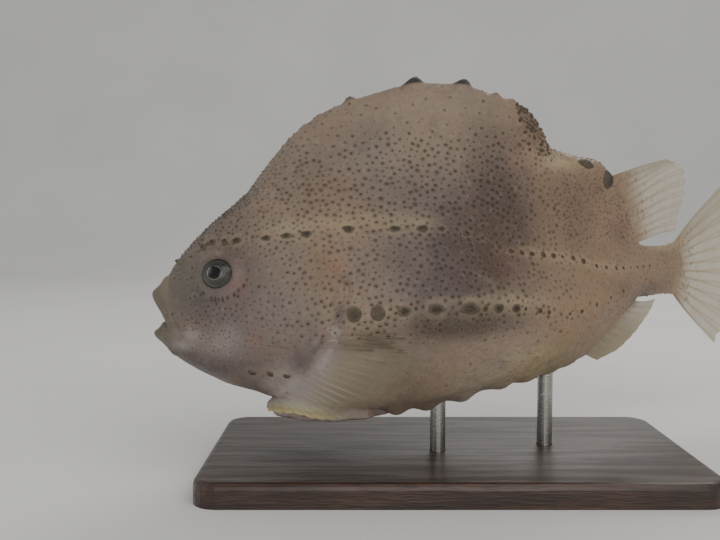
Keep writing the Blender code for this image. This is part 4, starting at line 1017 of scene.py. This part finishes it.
def plate(spot, sizes, rng, lean, rough, sides=20):
    """Points, faces and tip values of one bony plate with an uneven top, set on the skin."""
    here, tailward, roundward, outward = spot
    half_long, half_high, height = sizes
    turns = circle(sides)
    wobble = sum(rng.uniform(0.3, 1.0) * rough * np.cos(k * turns + rng.uniform(0, 6.3)) for k in (2, 3, 5))
    up = outward + tailward * lean
    flat = tailward * (np.cos(turns) * half_long)[:, None] + roundward * (np.sin(turns) * half_high)[:, None]
    rings = []
    for reach, lift, _ in PLATE_OUTLINE:
        uneven = lift + (rng.uniform(-1, 1, sides) * rough * 1.2 if lift > 0.1 else 0)
        rise = (outward if lift < 0.1 else up) * (height * uneven * np.ones(sides))[:, None]
        rings.append(here + flat * (reach * (1 + wobble))[:, None] + rise)
    points, faces = capped(rings)
    points[-1] = here + up * height
    tips = np.concatenate([np.repeat([tip for *_, tip in PLATE_OUTLINE], sides), [0.0, 1.0]])
    return points, faces, tips


# How far the upper row's plates lie above the upper of the section's points.
upper_row_shift = smooth_curve((
    (0.080, 0.0048), (0.094, 0.0025), (0.111, 0.0), (0.168, -0.003), (0.223, -0.003), (0.280, 0.0),
    (0.445, 0.0), (0.506, -0.0070), (0.554, -0.0030), (0.603, -0.0005), (0.646, -0.0040), (0.710, -0.0020),
    (0.9, 0.0),
))


def plate_list():
    """Every bony plate as (along, way round, side, sizes, lean, core, black, soft): how dark its middle is,
    how black it is and how soft its edge is."""
    rng = np.random.default_rng(5)
    found = []
    for side in (LEFT, RIGHT):
        for row, middle, rise in ((UPPER_ROW, upper_up, 0.36), (MIDDLE_ROW, middle_up, 0.24)):
            for i, (along, half_long, half_high) in enumerate(row):
                grow = 1 if side == LEFT else rng.uniform(0.85, 1.15)
                sizes = tuple(PLATE_SCALE * grow * size for size in (half_long, half_high, rise * half_high))
                up = float(middle(along)) + (float(upper_row_shift(along)) if row is UPPER_ROW else 0)
                smooth = row is MIDDLE_ROW and i < len(SMOOTH_CORES)
                core, soft = (SMOOTH_CORES[i], SMOOTH_EDGE) if smooth else (0.95, 0.60)
                found.append((along, way_at(along, up), side, sizes, 0.1, core, 0.0, soft))
        for along, height in CHEEK_ROW:
            way = way_at(along, CHEEK_UP)
            found.append((along, way, side, (*CHEEK_HALVES, height), 0.0, 0.4, 0.0, 0.7))
        for along, way, *sizes in HUMP_SCUTES:
            found.append((along, way, side, tuple(0.001 * size for size in sizes), 0.0, 0.6, 0.15, 0.05))
    for _ in range(CREST_REAR_COUNT):
        along = rng.uniform(*CREST_REAR)
        size = rng.uniform(0.0005, 0.0011)
        way, side = CREST_REAR_WAY * rng.random() ** 1.25, rng.choice((LEFT, RIGHT))
        height, black = rng.uniform(0.5, 0.9) * size, rng.uniform(0.0, 0.22)
        found.append((along, way, side, (size, size, height), 0.3, 0.85, black, 0.8))
    return found


def make_plates():
    """The rows of plates on the flanks, the cheeks, the crest and the hump, as one piece."""
    rng = np.random.default_rng(21)
    points, faces, values, base = [], [], [], 0
    for along, way, side, sizes, lean, core, black, soft in plate_list():
        rough = 0.03 if soft == SMOOTH_EDGE else 0.10
        shape, sheet, tip = plate(on_skin(along, way, side), sizes, rng, lean, rough)
        points.append(shape)
        faces += [[i + base for i in face] for face in sheet]
        base += len(shape)
        small = 0.85 if sizes[0] < 0.0024 and lean < 0.2 else 0.0
        marks = (along, float(section(along)[1](way)), core, black, soft, small)
        values.append(np.column_stack([tip, np.broadcast_to(marks, (len(tip), len(marks)))]))
    obj = closed_shell("plates", np.concatenate(points), faces)
    tip, along, up, core, black, soft, small = np.concatenate(values).T
    put(obj.data, tip=tip, core=core, scute=black, soft=soft, small=small, **markings_and_painted_light(along, up))
    obj.data.materials.append(plate_look())
    return obj


# The dashes under the eye and the spots round it, as turned from straight down towards the tail in degrees,
# with their distance from the middle of the eye, half width and stretch. Sizes in millimetres.
EYE_MARKS = (
    (-12, 11.9, 0.62, 3.0), (-2, 12.0, 0.62, 3.0), (7, 12.2, 0.42, 3.0), (16, 12.6, 0.58, 2.9),
    (28, 12.8, 0.62, 2.4), (44, 13.6, 0.90, 1.25), (56, 13.9, 0.85, 1.25), (68, 15.0, 0.90, 1.3),
    (-38, 11.4, 0.85, 1.2), (-58, 11.0, 0.52, 1.5), (178, 11.2, 0.30, 2.0), (160, 11.4, 0.28, 1.6),
    (196, 10.8, 0.30, 1.4), (215, 11.6, 0.34, 1.2),
)


def eye_marks(points, out):
    """The marks round each eye: the nearest point of the skin, place, direction, radius and stretch."""
    found = []
    for side in (LEFT, RIGHT):
        here, tailward, roundward, _ = on_flank(EYE_AT, side)
        for turn, far, radius, stretch in EYE_MARKS:
            turn = math.radians(turn)
            spot = here + (tailward * math.sin(turn) + roundward * math.cos(turn)) * 0.001 * far
            near = int(np.linalg.norm(points - spot, axis=1).argmin())
            spot = spot + out[near] * out[near].dot(points[near] - spot)
            found.append((near, spot, roundward, 0.001 * radius, stretch))
    return [np.array(column) for column in zip(*found)]


def make_tubercles(skin, places, bones):
    """The tubercles on each side. Gives how near each point of the skin is to one, and to a bony plate."""
    along, way, up, side = places
    points, out = co(skin.data), normals(skin.data)
    gaps = tubercle_gap(along, way, up)
    index, far = nearest(points, bones[:, :3].tolist())
    gaps[far < bones[index, 3] + 0.0008] = 0
    halo = bell(far - bones[index, 3], 0.0016)
    roots = scatter(points, gaps, 11)
    rng = np.random.default_rng(31)
    count, at, high = len(roots), along[roots], up[roots]
    kind, share = rng.random(count), rng.random(count)
    small, usual, large = (least + spread * share for least, spread in (SMALL, USUAL, LARGE))
    radius = np.where(kind < SMALL_BELOW, small, usual)
    radius = np.where(kind > LARGE_FROM, large, radius) * tubercle_size(at, high)
    tone = np.clip(0.15 + 1000 * radius, 0.3, 0.95) * rng.uniform(0.75, 1.0, count)
    tone *= 1 - 0.30 * soft_step(0.55, 0.64, at) * soft_step(0.09, 0.05, high)
    tone += 0.12 * soft_step(0.20, 0.14, at) - 0.35 * near_spot(at, high, 0.612, 0.200, 0.045, 0.028)
    stretch = rng.uniform(1.0, 1.35, count)
    turn = heading(at)
    ahead = np.stack([np.cos(turn), np.sin(turn), rng.uniform(-0.8, 0.8, count)], -1)
    marked, mark_spots, *mark_shapes = eye_marks(points, out)
    spots = np.concatenate([points[roots], mark_spots])
    roots = np.concatenate([roots, marked])
    ahead, radius, stretch = (np.concatenate(pair) for pair in zip((ahead, radius, stretch), mark_shapes))
    tone = np.concatenate([np.clip(tone, 0.15, 0.95), np.full(len(marked), 0.9)])
    ahead = unit(ahead - out[roots] * dots(ahead, out[roots])[:, None])
    height = np.minimum(0.75 * radius, 0.00055)
    look = skin_look("tubercle", tips=True)
    for name, half in (("tubercles_left", LEFT), ("tubercles_right", RIGHT)):
        here = side[roots] == half
        pick = roots[here]
        marks = {key: value[pick] for key, value in markings_and_painted_light(along, up).items()}
        obj = tubercles(name, spots[here], out[pick], ahead[here], radius[here], height[here], stretch[here],
                        (along[pick], way[pick], side[pick]), {**marks, "tone": tone[here]})
        obj.data.materials.append(look)
        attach(obj, "root")
    index, far = nearest(points, spots.tolist())
    share = far / radius[index]
    return {"spot": bell(share, 1.4) * tone[index], "rim": bell(share - 2.4, 0.7), "halo": halo}


def fin_surface(roots, tips, bow=0.0):
    """A function from (across the rays, out along a ray) to points, for roots and tips given as places."""
    root, tip = curve(roots), curve(tips)

    def at(across, reach):
        a, b = root(across), tip(across)
        spot = a + (b - a) * reach[..., None]
        arch = bow * np.sin(np.pi * np.clip(reach, 0, 1))
        if spot.shape[-1] == 2:
            return place(spot[..., 0] - (b - a)[..., 1] * arch, 0.0, spot[..., 1] + (b - a)[..., 0] * arch)
        return place(spot[..., 0], spot[..., 1] + np.linalg.norm(b - a, axis=-1) * arch, spot[..., 2])

    return at


# The roots and tips of the fins, as (along, up), and as (along, out, up) for the pectoral fins.
DORSAL = fin_surface(
    ((0.730, 0.187), (0.748, 0.156), (0.768, 0.122), (0.784, 0.096), (0.806, 0.078)),
    ((0.925, 0.222), (0.985, 0.216), (1.003, 0.175), (0.994, 0.135), (0.972, 0.094)), bow=0.02)
ANAL = fin_surface(
    ((0.672, -0.094), (0.700, -0.070), (0.735, -0.042), (0.790, -0.018)),
    ((0.704, -0.110), (0.765, -0.094), (0.828, -0.062), (0.893, -0.024)), bow=-0.03)
CAUDAL = fin_surface(
    ((0.970, 0.070), (0.972, 0.045), (0.972, 0.005), (0.970, -0.018)),
    ((1.118, 0.178), (1.152, 0.112), (1.166, 0.026), (1.148, -0.062), (1.112, -0.124)))
PECTORAL_ROOT = (
    (0.258, 0.1596, -0.030), (0.258, 0.1570, -0.044), (0.249, 0.1494, -0.064), (0.236, 0.1378, -0.085),
    (0.216, 0.1196, -0.106), (0.194, 0.0965, -0.123), (0.176, 0.0590, -0.134),
)
PECTORAL_TIP = (
    (0.386, 0.172, -0.027), (0.386, 0.171, -0.060), (0.376, 0.165, -0.092), (0.346, 0.156, -0.122),
    (0.318, 0.148, -0.138), (0.286, 0.138, -0.151), (0.243, 0.126, -0.153), (0.206, 0.114, -0.148),
    (0.168, 0.104, -0.146),
)
PECTORAL = {
    side: fin_surface(
        [(along, side * out, up) for along, out, up in PECTORAL_ROOT],
        [(along, side * out, up) for along, out, up in PECTORAL_TIP], bow=0.05 * side)
    for side in (LEFT, RIGHT)
}
# Columns of points for each ray, how far the root is sunk in the body as a share of the fin's length,
# and how thick the tips are.
PER_RAY, FIN_SUNK, FIN_TIP = 10, 0.14, 0.0006


def make_fin(name, surface, look, rays, seed, notch, wave, root=0.0019, web=0.50, ragged=0.025, rows=44):
    """A fin with tapering rays that fork towards their tips, a thin web between them and a ragged edge.

    root is how thick the rays are at the root, web how thick the web is as a share of them. notch, ragged
    and wave are how deep the edge is cut between rays, how uneven the rays' lengths are and how the fin
    ripples, as shares of the fin's length.
    """
    rng = np.random.default_rng(seed)
    count = (rays - 1) * PER_RAY + 1
    ray_no = np.arange(count) / PER_RAY
    shares = np.concatenate([[-FIN_SUNK, -0.4 * FIN_SUNK], np.linspace(0, 1, rows)])
    uneven = rng.uniform(-ragged, 0.01, rays) * np.linspace(0.3, 1, rays)
    length = 1 + np.interp(ray_no, np.arange(rays), uneven)
    from_ray = np.abs(ray_no - np.round(ray_no))[:, None]
    fork = soft_step(0.45, 0.80, shares)[None, :]
    one = bell(from_ray, 0.12)
    ridge = (1 - fork) * one + fork * np.maximum(bell(from_ray - 0.17, 0.070), 0.25 * one)
    edge = length[:, None] * (1 - notch * soft_step(0.14, 0.5, from_ray))
    reach = np.where(shares > 0, shares * edge, shares)
    across = np.broadcast_to((ray_no / (rays - 1))[:, None], reach.shape)
    points = surface(across, reach)
    normal = unit(np.cross(np.gradient(points, axis=0), np.gradient(points, axis=1)))
    span = np.linalg.norm(points[:, -1] - points[:, 2], axis=1)[:, None]
    phase = rng.uniform(0, 6.3, 3)
    ripple = np.sin(9 * across + 2.2 * reach + phase[0]) + 0.6 * np.sin(21 * across - 3.0 * reach + phase[1])
    out = np.clip(reach, 0, 1)
    points = points + normal * (wave * span * ripple * out ** 1.5)[..., None]
    thick = (root + (FIN_TIP - root) * out) * (web * (1 - 0.35 * out) + (1 - web) * ridge)
    half = normal * np.maximum(thick, 0.00032)[..., None] / 2
    columns = len(shares)
    number = np.arange(count * columns).reshape(count, columns)
    rim = np.concatenate([number[0], number[1:, -1], number[-1, -2::-1], number[-2:0:-1, 0]]).tolist()
    sheet = grid_faces(count, columns, wrap=False)
    size = count * columns
    faces = sheet.tolist() + (sheet[:, ::-1] + size).tolist()
    faces += [[b, a, a + size, b + size] for a, b in zip(rim, rim[1:] + rim[:1])]
    obj = closed_shell(name, np.stack([points + half, points - half]).reshape(-1, 3), faces)
    along, _, up, _ = body_places(points.reshape(-1, 3))
    marks = {"ray": ridge, "reach": reach, "across": across, **markings_and_painted_light(along, up)}
    put(obj.data, **{key: np.tile(value.ravel(), 2) for key, value in marks.items()})
    obj.data.materials.append(look)
    return obj


def fin_look(name, web, ray, spots=0.0, streaks=0.0):
    """Thin, damp fin: rays with fine cross joints, the web between them, and the body's colour at the root.

    spots are dark dots near the root, and streaks the dark lines, the painted highlights along the middle
    rays and the golden lobe of the pectoral fins, which are partly see-through.
    """
    look = Look(name, subsurface_weight=0.25, subsurface_scale=0.003, specular_ior_level=0.3)
    look.shader.inputs["Subsurface Radius"].default_value = (1.0, 0.9, 0.8)
    ramp, reach, across = look.ramp, look.mark("reach"), look.mark("across")
    line = ramp(look.mark("ray"), 0.05, 0.80)
    if spots:
        web = look.mix(web, WEB_PALE, ramp(across, 0.40, 0.95, 0.0, 0.8))
    colour = look.mix(web, ray, look.noise(0.011, 0.3, 0.7), 0.25)
    colour = look.mix(colour, ray, line, ramp(reach, 1.0, 0.10, 0.40, 0.85))
    joints = ramp(look.math("FRACT", look.math("MULTIPLY", reach, 34.0, clamp=False)), 0.80, 0.98)
    colour = look.mix(colour, FIN_SPOT, joints, line, 0.18)
    if streaks:
        out = look.math("MULTIPLY", reach, 0.006, clamp=False)
        down = look.math("MULTIPLY", across, 0.10, clamp=False)
        waves = look.node("CombineXYZ", 0, ((0, out), (1, down)))
        top = look.product(ramp(across, 0.22, 0.07), look.noise(0.0019, 0.47, 0.60, place=waves),
                           ramp(reach, 0.12, 0.30), ramp(reach, 0.85, 0.65))
        colour = look.mix(colour, STREAK, top, streaks)
        # A painted highlight along the middle rays.
        gleam = look.product(ramp(across, 0.36, 0.44), ramp(across, 0.66, 0.58), line)
        colour = look.mix(colour, WEB_PALE, gleam, ramp(reach, 0.75, 0.45), 0.5)
        gold = look.product(ramp(reach, 0.30, 0.88), ramp(across, 0.50, 0.80))
        milk = look.product(ramp(reach, 1.10, 0.55), ramp(across, 0.45, 0.75))
        colour = look.mix(colour, MILK, milk, 0.75)
        colour = look.mix(colour, look.mix(GOLD_DEEP, GOLD, line), gold, 0.85)
        solid = look.product(ramp(reach, 0.92, 0.15, 0.08, 0.92), ramp(across, 0.0, 0.16))
        for value in (gold, milk, look.product(top, 0.9)):
            solid = look.math("MAXIMUM", solid, value)
        look.tree.links.new(solid, look.shader.inputs["Alpha"])
    if spots:
        colour = look.mix(colour, WEB_OLIVE, ramp(across, 0.40, 0.0, 0.0, 0.5))
        cells = look.node("TexVoronoi", 0, (("Vector", look.place), ("Scale", 1 / 0.0040)))
        colour = look.mix(colour, FIN_SPOT, ramp(cells, 0.36, 0.24), ramp(reach, 0.60, 0.05), spots)
    colour = look.mix(colour, body_colour(look), ramp(reach, 0.38, 0.02), 0.9)
    grain = look.noise(0.0012, 0.3, 0.7)
    look.bump((grain, 0.00012), (joints, 0.00006))
    return look.finish(colour, grain, 0.38, 0.55)


def make_fins():
    """The five fins, each in the place of its node."""
    pale = fin_look("fin", WEB_PALE, RAY_TAN, spots=0.75)
    dull = fin_look("fin_anal", WEB_DULL, RAY_TAN, spots=0.4)
    warm = fin_look("fin_pectoral", WEB_OLIVE, RAY_OLIVE, streaks=0.75)
    pectoral = dict(look=warm, rays=20, seed=5, notch=0.06, wave=0.006, root=0.0016, web=0.85, ragged=0.09)
    rows = (
        ("dorsal_fin", DORSAL, dict(look=pale, rays=11, seed=2, notch=0.03, wave=0.010)),
        ("anal_fin", ANAL, dict(look=dull, rays=10, seed=3, notch=0.02, wave=0.008, web=0.6)),
        ("caudal_fin", CAUDAL, dict(look=pale, rays=12, seed=4, notch=0.03, wave=0.008, rows=52)),
        ("pectoral_fin_left", PECTORAL[LEFT], pectoral),
        ("pectoral_fin_right", PECTORAL[RIGHT], pectoral),
    )
    for node, surface, settings in rows:
        obj = make_fin("rayed_" + node, surface, **settings)
        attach(obj, "root")
        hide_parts(node)


def make_eye(side):
    """One eyeball with a bulging cornea. Each point holds how far it is from the middle of the pupil."""
    here, tailward, roundward, outward = on_flank(EYE_AT, side)
    centre = here - outward * math.sqrt(EYE_RADIUS ** 2 - EYE_SHOWS ** 2)
    lat = np.concatenate([np.linspace(0, 1.1, 45)[1:], np.linspace(1.1, np.pi, 16)[1:-1]])
    turn = circle(96)
    size = EYE_RADIUS - 0.0001 + CORNEA * soft_step(0.95, 0.25, lat)
    rings = (
        centre
        + outward * (np.cos(lat) * size)[:, None, None]
        + tailward * EYE_LONG * ((np.sin(lat) * size)[:, None] * np.cos(turn))[..., None]
        + roundward * ((np.sin(lat) * size)[:, None] * np.sin(turn))[..., None]
    )
    obj = closed_shell("glass_eye_left" if side == LEFT else "glass_eye_right", *capped(rings))
    reach = (np.sin(np.minimum(lat, np.pi / 2)) * EYE_RADIUS / EYE_SHOWS)[:, None]
    aside = PUPIL_ASIDE * np.maximum(1 - reach, 0)
    shown = np.hypot(reach * np.cos(turn) - aside, reach * np.sin(turn))
    angle = np.append(np.tile(turn, len(lat)), [0.0, 0.0])
    spoke = 0.5 + 0.5 * np.cos(37 * angle + 3 * np.sin(5 * angle))
    put(obj.data, shown=np.append(shown, [PUPIL_ASIDE, 2.0]), high=-np.sin(angle), spoke=spoke)
    return obj


def eye_look():
    """Black pupil, thin pale ring, grey-green iris with fine spokes, and a dark rim, under a clear coat."""
    look = Look("eye", roughness=0.25, coat_weight=0.45, coat_roughness=0.07, specular_ior_level=0.25)
    ramp, shown, spoke = look.ramp, look.mark("shown"), look.mark("spoke")
    cloud = look.product(look.noise(0.0024, 0.30, 0.65), 0.45)
    colour = look.mix(IRIS_DARK, IRIS, look.math("MAXIMUM", cloud, ramp(look.mark("high"), 0.55, -0.45)))
    colour = look.mix(colour, IRIS_DARK, spoke, 0.30)
    colour = look.mix(colour, IRIS_DARK, ramp(shown, 0.58, 0.66), ramp(shown, 0.78, 0.70), 0.45)
    ring_in = look.product(ramp(shown, 0.39, 0.41), ramp(shown, 0.455, 0.425))
    colour = look.mix(colour, EYE_RING, ring_in, look.noise(0.0014, 0.30, 0.60))
    colour = look.mix(colour, PUPIL, ramp(shown, 0.42, 0.39))
    colour = look.mix(colour, EYE_RIM, ramp(shown, 0.86, 0.96), 0.9)
    look.bump((look.product(spoke, ramp(shown, 0.40, 0.50)), 0.00005))
    return look.finish(colour, look.noise(0.003, 0.2, 0.8), 0.18, 0.28)


# The sucking disc: the turned outline of its cup as (radius, up), from its top round the rim to its middle,
# how much longer than wide it is, and how high its knobs and folds are.
DISC_LOBES, DISC_LONG = 12, 1.12
DISC_KNOBS, DISC_FOLDS = 0.00064, 0.0011
DISC_OUTLINE = (
    (0.066, -0.140), (0.076, -0.148), (0.083, -0.156), (0.084, -0.163), (0.079, -0.1675), (0.071, -0.1690),
    (0.062, -0.1680), (0.052, -0.1640), (0.040, -0.1600), (0.024, -0.1575), (0.008, -0.1570),
)


def make_disc():
    """The sucking disc under the chest, with a papillose, scalloped rim and radial folds in the cup."""
    radius, high = curve(DISC_OUTLINE)(np.linspace(0, 1, 46)).T[:, :, None]
    turn = circle(180)
    rim, low = soft_step(0.06, 0.078, radius), soft_step(-0.150, -0.166, high)
    reach = radius * (1 + 0.030 * rim * np.cos(DISC_LOBES * turn))
    knobs = DISC_KNOBS * rim * low * np.abs(np.sin(1.5 * DISC_LOBES * turn)) * np.abs(np.sin(900 * radius))
    folds = DISC_FOLDS * (1 - rim) * low * np.cos(DISC_LOBES * turn)
    along = DISC_AT + DISC_LONG * reach * np.cos(turn)
    points = place(along, reach * np.sin(turn), high + folds + knobs)
    obj = closed_shell("sucking_disc", *capped(points))
    along, _, up, _ = body_places(co(obj.data))
    put(obj.data, **markings_and_painted_light(along, up))
    return obj


def disc_look():
    """Pale, damp, slightly rosy flesh."""
    look = Look("disc", subsurface_weight=0.2, subsurface_scale=0.004, specular_ior_level=0.4)
    colour = look.mix(body_colour(look), PALE, look.noise(0.006, 0.3, 0.7))
    colour = look.mix(colour, ROSE, look.noise(0.009, 0.45, 0.7), 0.4)
    grain = look.noise(0.0011, 0.25, 0.75)
    look.bump((look.noise(0.004, 0.3, 0.7), 0.0003), (grain, 0.00015))
    return look.finish(colour, grain, 0.32, 0.50)


def wood_look():
    """Dark stained wood under satin varnish, with long grain along X."""
    look = Look("stained_wood", coat_weight=0.25, coat_roughness=0.25)
    along_grain = look.stretched(0.10, 1.0, 1.0)
    rings = look.noise(0.0060, 0.35, 0.65, detail=5.0, place=along_grain)
    fibres = look.noise(0.0011, 0.35, 0.70, detail=2.0, place=along_grain)
    colour = look.mix(paint(74, 50, 38), paint(46, 30, 23), rings)
    colour = look.mix(colour, paint(30, 20, 16), fibres, 0.55)
    look.bump((rings, 0.00012), (fibres, 0.00010))
    return look.finish(colour, rings, 0.36, 0.48)


def steel_look():
    """Brushed steel, with fine scratches round the rod."""
    look = Look("brushed_steel", metallic=1.0)
    brushed = look.noise(0.0008, 0.3, 0.7, detail=2.0, place=look.stretched(0.25, 0.25, 3.0))
    colour = look.mix(paint(186, 184, 180), paint(158, 156, 152), brushed)
    colour = look.mix(colour, paint(140, 136, 130), look.noise(0.009, 0.3, 0.7), 0.35)
    look.bump((brushed, 0.00002))
    return look.finish(colour, brushed, 0.22, 0.38)


def floor_look():
    """Plain pale studio floor."""
    look = Look("floor", specular_ior_level=0.2)
    cloud = look.noise(0.25, 0.2, 0.8)
    return look.finish(look.mix(paint(238, 236, 232), paint(230, 228, 225), cloud), cloud, 0.75, 0.85)


def make_floor():
    """A floor that curves up into a backdrop far behind the model."""
    near, bend, far, wide, tall = -1.4, 1.3, 1.9, 3.2, 2.2
    radius = far - bend
    turns = np.linspace(0.1, math.pi / 2, 14)
    arc = [(bend + radius * math.sin(turn), radius * (1 - math.cos(turn))) for turn in turns]
    rows = [(near, 0.0), (bend, 0.0), *arc, (far, tall)]
    points = [(x, y, z) for y, z in rows for x in (-wide, wide)]
    floor = mesh_object("studio_floor", points, grid_faces(len(rows), 2, wrap=False))
    floor.data.materials.append(floor_look())


# The lights, as (name, place, what it points at, size, power, colour).
LIGHTS = (
    ("key", (0.50, -0.95, 1.10), (0.0, 0.0, 0.10), 1.2, 6.6, (1.0, 0.97, 0.92)),
    ("low", (0.12, -1.15, 0.14), (0.05, 0.0, 0.05), 0.9, 3.8, (1.0, 0.98, 0.95)),
    ("fill", (-1.25, -0.25, 0.50), (0.0, 0.0, 0.10), 0.8, 2.0, (0.95, 0.97, 1.0)),
    ("rim", (0.35, 0.95, 0.95), (0.0, 0.0, 0.12), 0.8, 5.0, (1.0, 0.98, 0.95)),
)
# The camera: where it stands, how far it looks down, and its view across the picture, in degrees.
CAMERA_AT, CAMERA_DOWN, CAMERA_VIEW = (-0.0465, -0.444, 0.1365), 4.0, 46.0


def make_camera():
    """The camera, with the photograph's angle and framing."""
    data = bpy.data.cameras.new("camera")
    data.angle = math.radians(CAMERA_VIEW)
    data.clip_start = 0.01
    camera = bpy.data.objects.new("camera", data)
    camera.location = CAMERA_AT
    camera.rotation_euler = (math.radians(90 - CAMERA_DOWN), 0, 0)
    bpy.context.scene.collection.objects.link(camera)
    bpy.context.scene.camera = camera


def make_lights():
    """Soft studio light: a large key above and in front, a fill, a rim from behind, and a pale surround."""
    for name, spot, aim, size, power, colour in LIGHTS:
        light = bpy.data.lights.new(name, "AREA")
        light.shape = "DISK"
        light.size = size
        light.energy = power
        light.color = colour
        obj = bpy.data.objects.new(name, light)
        obj.location = spot
        obj.rotation_euler = (Vector(aim) - Vector(spot)).to_track_quat("-Z", "Y").to_euler()
        bpy.context.scene.collection.objects.link(obj)
    world = bpy.data.worlds.new("surround")
    world.use_nodes = True
    background = next(node for node in world.node_tree.nodes if node.type == "BACKGROUND")
    background.inputs["Color"].default_value = (0.80, 0.82, 0.84, 1.0)
    background.inputs["Strength"].default_value = 0.55
    bpy.context.scene.world = world


def dress(frame):
    """Makes every piece of the model around the frame."""
    skin, places = make_skin()
    plates = make_plates()
    bones = np.array([(*on_skin(*row[:3])[0], max(row[3][:2])) for row in plate_list()])
    around = make_tubercles(skin, places, bones)
    put(skin.data, **around, **markings_and_painted_light(*places[:3:2]))
    skin.data.materials.clear()
    skin.data.materials.append(skin_look("skin"))
    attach(skin, "root")
    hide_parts("head", "torso", "crest", "tail_base")
    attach(plates, "root")
    make_fins()
    for side in (LEFT, RIGHT):
        eye = make_eye(side)
        eye.data.materials.append(eye_look())
        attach(eye, "root")
        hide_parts("eye_left" if side == LEFT else "eye_right")
    disc = make_disc()
    disc.data.materials.append(disc_look())
    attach(disc, "root")
    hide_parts("sucker_disc")
    stand = {"stand_base": wood_look(), "stand_rod_front": steel_look(), "stand_rod_rear": steel_look()}
    for node, look in stand.items():
        frame["nodes"][node].data.materials.clear()
        frame["nodes"][node].data.materials.append(look)


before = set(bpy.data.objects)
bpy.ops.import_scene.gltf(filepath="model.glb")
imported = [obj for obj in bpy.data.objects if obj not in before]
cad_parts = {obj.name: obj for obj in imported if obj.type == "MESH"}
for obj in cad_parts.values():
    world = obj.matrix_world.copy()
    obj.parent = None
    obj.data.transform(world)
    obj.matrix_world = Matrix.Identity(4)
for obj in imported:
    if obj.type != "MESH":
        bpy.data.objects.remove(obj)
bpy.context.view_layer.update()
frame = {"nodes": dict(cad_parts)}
dress(frame)
make_floor()
make_lights()
make_camera()
